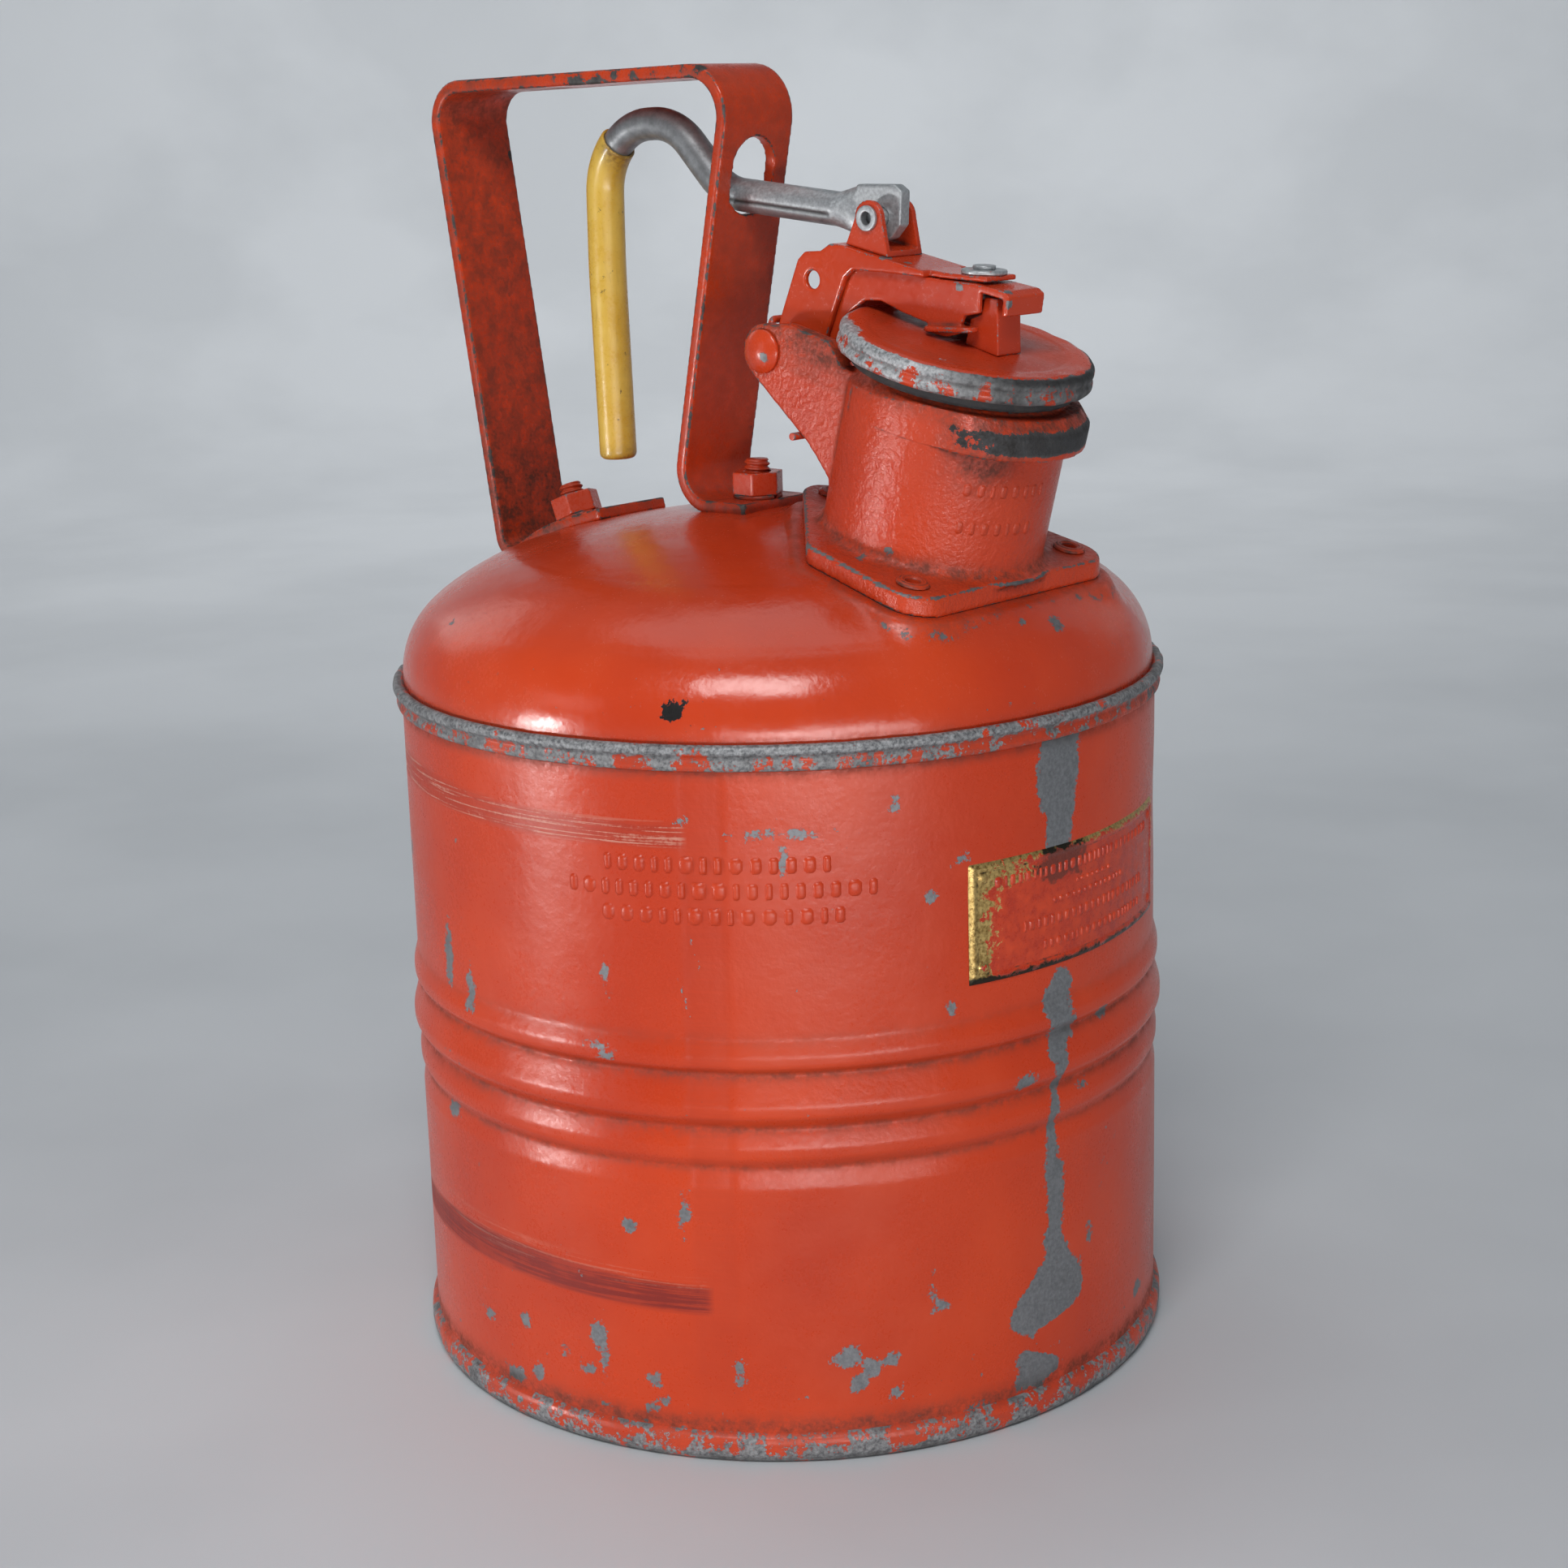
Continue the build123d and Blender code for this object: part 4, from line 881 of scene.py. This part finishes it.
# Painted shade in a patch under the lip, towards the front.
under_lip_shade = lump(height - 28, 7) * lump(np.arctan2(v, u) + 0.62, 0.30)
paint(
    casting,
    bare=np.maximum(casting_bare, unit(wear * 0.5 + flange_rim * wear)),
    grime=unit(1.7 * hollow + 0.8 * under_cap_shade + 1.3 * under_lip_shade + 0.5 * lump(height - 1.5, 2.2) + 0.4 * lip),
    soot=0.62 * lip * low_lip,
    zone=0.5 * (np.abs(height) < 4),
)
bars = []
for t, seed in [(20.6, 41), (11.8, 42)]:
    bars += bar_row(-17.5, 4.5, t, 3.3, seed, 1.1, 1.0, 2.4)


def on_neck(s, t, lift):
    """Points lift millimetres off the neck, a little inside its nominal radius."""
    r, angle = NECK_R - 0.15 + lift, s / NECK_R - 0.08
    u, v = r * np.cos(angle), r * np.sin(angle)
    return SPOUT_O + u[..., None] * SPOUT_A + v[..., None] * ACROSS + t[..., None] * SPOUT_N


neck_bars = raised_bars("cast_bars", bars, on_neck, 0.42, "tank", "cast")
paint(neck_bars, grime=0.25)

# Tubular rivets, rolled over at the top.
rivet_line = rounded(
    [(0.0, -2.2), (1.5, -2.2), (1.62, -0.4), (1.75, 0.5), (2.3, 1.0), (3.1, 0.9), (3.8, 0.45), (3.95, 0.05),
     (3.6, -0.1), (2.3, -0.2)],
    0.3, 0.16,
)
RIVET_STEPS, RIVET_CIRCLE, RIVET_MID = 40, 33.0, 2.0
points, faces = [], []
for k in range(3):
    a = math.radians(60 + 120 * k)
    u, v = RIVET_MID + RIVET_CIRCLE * math.cos(a), RIVET_CIRCLE * math.sin(a)
    ring, _ = turned(rivet_line, RIVET_STEPS, SPOUT_O + u * SPOUT_A + v * ACROSS, SPOUT_N, SPOUT_A)
    faces += quads(len(rivet_line), RIVET_STEPS, offset=k * len(ring))
    points.append(ring)
rivets = build("flange_rivet_heads", np.concatenate(points), faces, "tank", "small", ["flange_rivets"])
mark_edges(rivets, 2, 0.6)

# ---- cap ----

cap_line = rounded(
    [(0.0, 47.25), (10, 47.2), (22.4, 47.0), (23.6, 47.15), (26.9, 47.2), (28.3, 46.8), (29.1, 45.8),
     (29.15, 44.9), (28.75, 44.2), (28.8, 43.6), (29.25, 43.0), (29.3, 42.1), (28.9, 41.4), (28.0, 41.15),
     (27.2, 41.4), (27.0, 42.4), (27.0, 45.2), (26.2, 45.7), (0.0, 45.9)],
    0.35, 0.3,
)
cap_centre = SPOUT_O - 0.8 * SPOUT_A
CAP_STEPS = 420
cap_points, cap_faces = turned(cap_line, CAP_STEPS, cap_centre, SPOUT_N, SPOUT_A)
# turned() runs from the side direction towards axis x side, which is +Y here.
cap_angle, cap_r, cap_h = places(cap_line, CAP_STEPS)
knock = 0.10 * waves(cap_angle, 12, 10, 3, 30) * unit((cap_r - 25) / 3)
cap_points += knock[:, None] * SPOUT_N + 0.05 * waves(cap_angle + 1, 13, 6, 2, 9)[:, None] * SPOUT_N
cap = build("cap_sheet", cap_points, cap_faces, "cap_arm", "cap", ["cap_shell"])
cap_deg = wrapped(np.degrees(cap_angle))
band_mask = unit((cap_r - 27.9) / 0.5) * (cap_h > 41.0)
crest = lump(cap_h - 45.9, 1.2) * band_mask
top_ring = lump(cap_r - 28.2, 1.5) * (cap_h > 46)
cap_bare = band_mask * (0.60 + 0.10 * waves(cap_angle, 14, 10, 3, 40)) + 0.10 * crest
cap_bare += 0.55 * lump(cap_deg + 126, 13) * lump(cap_r - 27, 3.4) * (cap_h > 46)
cap_bare += top_ring * (0.30 + 0.26 * lump(cap_deg, 60) + 0.20 * lump(cap_deg + 128, 30))
# The band and top rim turn darker over the front and right side; a line of painted shade runs in the band's groove,
# and grime lies on the top.
front_dark = unit((cap_deg + 78) / 50) * unit((150 - cap_deg) / 60)
cap_grime = band_mask * (0.10 + 0.80 * front_dark) + 0.8 * lump(cap_h - 44.1, 0.45) * band_mask
cap_grime += 0.25 * lump(cap_r - 20, 4) * (cap_h > 46.5) + 0.7 * lump(cap_r, 7.5) * (cap_h > 46.5)
paint(
    cap,
    bare=cap_bare,
    grime=cap_grime,
    soot=front_dark * np.maximum(0.85 * top_ring, band_mask * (0.42 + 0.45 * lump(cap_h - 46.4, 1.2))),
    zone=0.3,
)

# ---- arms, post, clevis ----

skins = {}
for node, voxel, rounds, body, slot, material, spread, sharp in [
    ("outer_arm", 0.24, 14, "cap_arm", "red_paint", "arms", 3, 0.7),
    ("inner_arm", 0.24, 14, "cap_arm", "red_paint", "arms", 3, 0.7),
    ("cap_post", 0.22, 8, "cap_arm", "red_paint", "arms", 2, 0.8),
    ("clevis", 0.18, 6, "cap_arm", "red_paint", "arms", 3, 0.8),
    ("arm_rivet", 0.16, 5, "cap_arm", "zinc", "washer", 2, 0.8),
    ("arm_washer", 0.16, 4, "cap_arm", "zinc", "washer", 2, 0.8),
    ("clevis_rivet", 0.14, 6, "cap_arm", "zinc", "zinc", 2, 0.8),
    ("pivot_pin", 0.22, 3, "tank", "red_paint", "small", 2, 0.6),
    ("handle_nuts", 0.22, 4, "tank", "red_paint", "small", 3, 0.55),
    ("lock_washers", 0.18, 3, "tank", "red_paint", "small", 3, 0.55),
    ("closing_spring", 0.16, 2, "tank", "dark_steel", "small", 3, 0.55),
    ("spring_tang", 0.16, 2, "cap_arm", "dark_steel", "small", 3, 0.55),
]:
    skins[node] = softened(node, voxel, rounds, body, material, spread, sharp)[:2]
# Lock washers dark all over: dark washers, with painted shadow under the nuts.
paint(skins["lock_washers"][0], grime=1)
for node, soft, spots in [
    ("outer_arm", 1.2, [(43, -6.5, 266.9, 1.6), (48, -5.0, 265.8, 1.0), (69.5, 0, 263.2, 0.8)]),
    ("inner_arm", 1.2, [(76.6, -5, 259.6, 1.0), (77.8, -6, 257, 1.0), (64.2, -6.6, 260.6, 0.8)]),
    ("pivot_pin", 1.6, [(18.0, -20.8, 244.2, 0.9), (18.0, 20.8, 244.0, 1.2)]),
]:
    piece, p = skins[node]
    paint(piece, bare=near(p, spots, soft))

# ---- pull rod ----

rod, p, _, hollow = softened("pull_rod", 0.30, 5, "rod", "zinc", 2, 0.6)
# The straight run between these two points, and each vertex's place round it.
TUBE_R = 3.97
start, end = np.array([24.0, 0, 276.9]), np.array([-12.4, 0, 280.7])
along = (end - start) / np.linalg.norm(end - start)
up = np.cross(along, ACROSS)
up *= np.sign(up[2])
side_off, up_off = -p[:, 1], (p - start) @ up
spin = np.arctan2(up_off, side_off)
on_tube = unit((24.5 - p[:, 0]) / 2) * unit((p[:, 0] + 13) / 3)
# The rolled tube's seam is a shallow groove along the straight run.
groove = lump((spin + 0.30) * TUBE_R, 0.6) * on_tube
outward = (side_off[:, None] * -ACROSS + up_off[:, None] * up) / TUBE_R
move_points(rod, p - 0.28 * groove[:, None] * outward)
# Painted shade along the underside of the straight tube.
underside_shade = unit(-(up_off + 1.6) / 1.5) * on_tube
bend = unit((-9 - p[:, 0]) / 6) * unit((p[:, 0] + 62) / 4)
paint(rod, seam=0.9 * groove, grime=unit(1.3 * hollow + 0.5 * underside_shade + 0.62 * bend))

sleeve, p, _, _ = softened("grip_sleeve", 0.30, 10, "rod", "vinyl", 2, 0.6)
grime = 0.55 * unit((p[:, 0] + 50.5) / 3.0) + 0.5 * unit((218.5 - p[:, 2]) / 4)
grime += 0.6 * lump(p[:, 2] - 291, 3.0) * unit((p[:, 0] + 53) / 4)
paint(sleeve, grime=grime)

# ---- handle ----

strap, p, wear, hollow = softened("handle_strap", 0.50, 4, "tank", "strap", 2, 0.6)
worn = near(p, [
    (-58, -12.2, 308.6, 0.9), (-54.5, -12.2, 307.0, 1.3), (-52, -12.2, 306.6, 1.8), (-49, -12.0, 307.4, 2.2),
    (-46, -12.0, 306.4, 1.7), (-43.5, -12.2, 307.2, 2.2), (-40.5, -12.2, 306.6, 1.4), (-37, -12.4, 308.6, 1.1),
    (-31, -12.4, 308.8, 1.2), (-24, -12.6, 308.9, 1.0), (-14, -11.0, 310.0, 1.2), (-8, -11.9, 310.3, 2.0),
    (-3, -12, 309.6, 1.6), (0, -12.0, 306, 1.0), (-76, -11.8, 240, 1.6), (-73, -11.8, 234, 1.4),
    (-76, -11.8, 219, 2.0), (-78, -11.8, 212, 1.6), (-80, -11.8, 206, 1.4), (-84, -11.8, 199, 1.2),
    (-70, 0, 307.6, 2.4), (-30, 6, 309.4, 3.0), (-100, 11.8, 290, 2.0), (-90, 11.8, 240, 2.4),
    (-10, 11.8, 262, 1.6), (-18, 11.8, 224, 1.8), (-60, 12, 308, 3.0), (-15, 12, 309.6, 2.0),
    (-96, -11.6, 306, 0.8), (-6, 10, 287, 1.8),
], 2.4)
leg = lump(np.hypot(p[:, 0] + 78, 0.35 * (p[:, 2] - 222)), 11) * 0.42
# The rear leg and the inner faces are made darker.
darkened = 0.70 * unit((-60 - p[:, 0]) / 12) + 0.35 * unit((p[:, 0] + 40) / 30)
paint(
    strap,
    bare=np.maximum(worn, wear * 0.44 + leg * unit(-p[:, 1] / 12)),
    grime=unit(1.2 * hollow + 0.9 * worn + 0.9 * leg + 0.5 * unit((212 - p[:, 2]) / 8) + darkened),
    zone=0.4 + 0.4 * lump(p[:, 2] - 308, 8),
)

# Studs with a real thread, chamfered at the top.
THREAD_STEPS, PITCH, STUD_TOP = 48, 1.27, 9.4
ROOT_R, THREAD_DEEP = 2.58, 0.57
rear_tilt = math.radians(21.3)
rear_n = np.array([-math.sin(rear_tilt), 0, math.cos(rear_tilt)])
rear_seat = np.array([-SHOULDER_C[0], 0, SHOULDER_C[1]]) + rear_n * (SHOULDER_R + 3.2)
points, faces = [], []
for foot_at, n in ((np.array([-4.9, 0, 208.0]), np.array([0.0, 0, 1.0])), (rear_seat, rear_n)):
    h = np.arange(-2.6, STUD_TOP + 0.01, 0.1)
    H, W = np.meshgrid(h, circle(THREAD_STEPS), indexing="ij")
    phase = (H / PITCH + W / (2 * math.pi)) % 1.0
    ridge = unit(1.25 * (1 - np.abs(2 * phase - 1)) - 0.12)
    radius = np.minimum(ROOT_R + THREAD_DEEP * ridge, 2.52 + 0.9 * (STUD_TOP - H))
    x, y = radius * np.cos(W), radius * np.sin(W)
    grid = foot_at + H[..., None] * n + x[..., None] * np.cross(ACROSS, n) + y[..., None] * ACROSS
    base = sum(len(q) for q in points)
    faces += quads(len(h), THREAD_STEPS, offset=base)
    crown_at = base + (len(h) - 1) * THREAD_STEPS
    faces.append([crown_at + k for k in range(THREAD_STEPS)])
    faces.append([base + k for k in range(THREAD_STEPS)][::-1])
    points.append(grid.reshape(-1, 3))
studs = build("threaded_studs", np.concatenate(points), faces, "tank", "small", ["handle_studs"])
paint(studs, grime=0.45)

# ---- CAD nodes shown as they are ----

for node, material in [
    ("bottom_pan", "seam"), ("spout_gasket", "seal"), ("flame_arrester", "arrester"), ("cap_gasket", "seal"),
    ("cap_retainer", "zinc"),
]:
    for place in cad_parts[node].material_slots:
        place.link = "OBJECT"
        place.material = M[material]

# ---- camera, light, floor ----

camera_data = bpy.data.cameras.new("camera")
camera_data.sensor_width, camera_data.lens = 36.0, 61.405
camera_data.clip_start, camera_data.clip_end = 0.01, 20.0
camera = linked("camera", camera_data)
# The photograph's camera: its right, up and backward directions, and its place.
camera.matrix_world = Matrix((
    (0.73659431, 0.67575025, -0.02811442, 0),
    (-0.14561666, 0.1990475, 0.96911087, 0),
    (0.66047302, -0.70974763, 0.24501775, 0),
    (0.441614, -0.473573, 0.299940, 1),
)).transposed()
scene.camera = camera

TARGET = Vector((0, 0, 0.15))


def softbox(name, azimuth, elevation, distance, width, height, power, aim=TARGET, spread=180):
    """A soft light seen from TARGET at azimuth from +X and elevation, in degrees; it faces aim."""
    data = bpy.data.lights.new(name, "AREA")
    data.shape, data.size, data.size_y = "RECTANGLE", width, height
    data.energy, data.spread = power, math.radians(spread)
    lamp = linked(name, data)
    a, e = math.radians(azimuth), math.radians(elevation)
    way = Vector((math.cos(a) * math.cos(e), math.sin(a) * math.cos(e), math.sin(e)))
    lamp.location = TARGET + way * distance
    lamp.rotation_mode = "QUATERNION"
    lamp.rotation_quaternion = (lamp.location - aim).to_track_quat("Z", "Y")


softbox("key", -56, 46, 1.5, 0.7, 0.45, 11.8)
softbox("front_low", -36, -6.4, 0.8, 0.8, 0.09, 0.62, spread=80)
softbox("left_low", -117, -6.4, 0.8, 0.13, 0.09, 0.42, spread=80)
softbox("left_high", -112, 16, 1.3, 0.4, 0.3, 0.42)
softbox("right_fill", 84, 26, 1.7, 0.5, 0.9, 0.3)
softbox("back_fill", 178, 28, 1.7, 0.7, 0.7, 1.6)
softbox("overhead", 150, 80, 1.4, 0.9, 0.9, 2.8)
softbox("backdrop", 133, 50, 1.9, 1.6, 0.8, 9.5, Vector((-1.3, 1.4, 0.25)), spread=125)

world = bpy.data.worlds.new("studio")
world.use_nodes = True
sky = world.node_tree.nodes["Background"].inputs
sky["Color"].default_value, sky["Strength"].default_value = (0.60, 0.72, 0.84, 1), 0.20
scene.world = world
scene.view_settings.view_transform = "Standard"


def floor_material():
    """Pale matt paper, very slightly uneven."""
    g = Graph("pale_floor")
    tone = g.blend(g.span(g.noise(0.004, 4, 0.5), 0.4, 0.6), (0.55, 0.57, 0.59), (0.61, 0.63, 0.65))
    g.set(Base_Color=tone, Roughness=g.span(g.noise(0.01, 3, 0.5), 0.3, 0.7, 0.55, 0.7))
    return g.material


# One sheet: flat under the can, then curving up into a backdrop on every side.
FLOOR_STEPS, FLAT_R, CURVE_R, BACK_TOP = 96, 1500, 900, 2600
FLAT_ROWS, CURVE = 24, np.linspace(0.1, math.pi / 2, 16)
radii = [[1], np.linspace(60, FLAT_R, FLAT_ROWS), FLAT_R + CURVE_R * np.sin(CURVE), [FLAT_R + CURVE_R]]
heights = [[0], np.zeros(FLAT_ROWS), CURVE_R - CURVE_R * np.cos(CURVE), [BACK_TOP]]
floor_line = np.stack([np.concatenate(radii), np.concatenate(heights)], -1)
floor_points, floor_faces = turned(floor_line, FLOOR_STEPS)
floor_faces.append(list(range(FLOOR_STEPS))[::-1])
floor = linked("floor", mesh_from("floor", floor_points, floor_faces))
floor.data.materials.append(floor_material())
floor.data.shade_smooth()
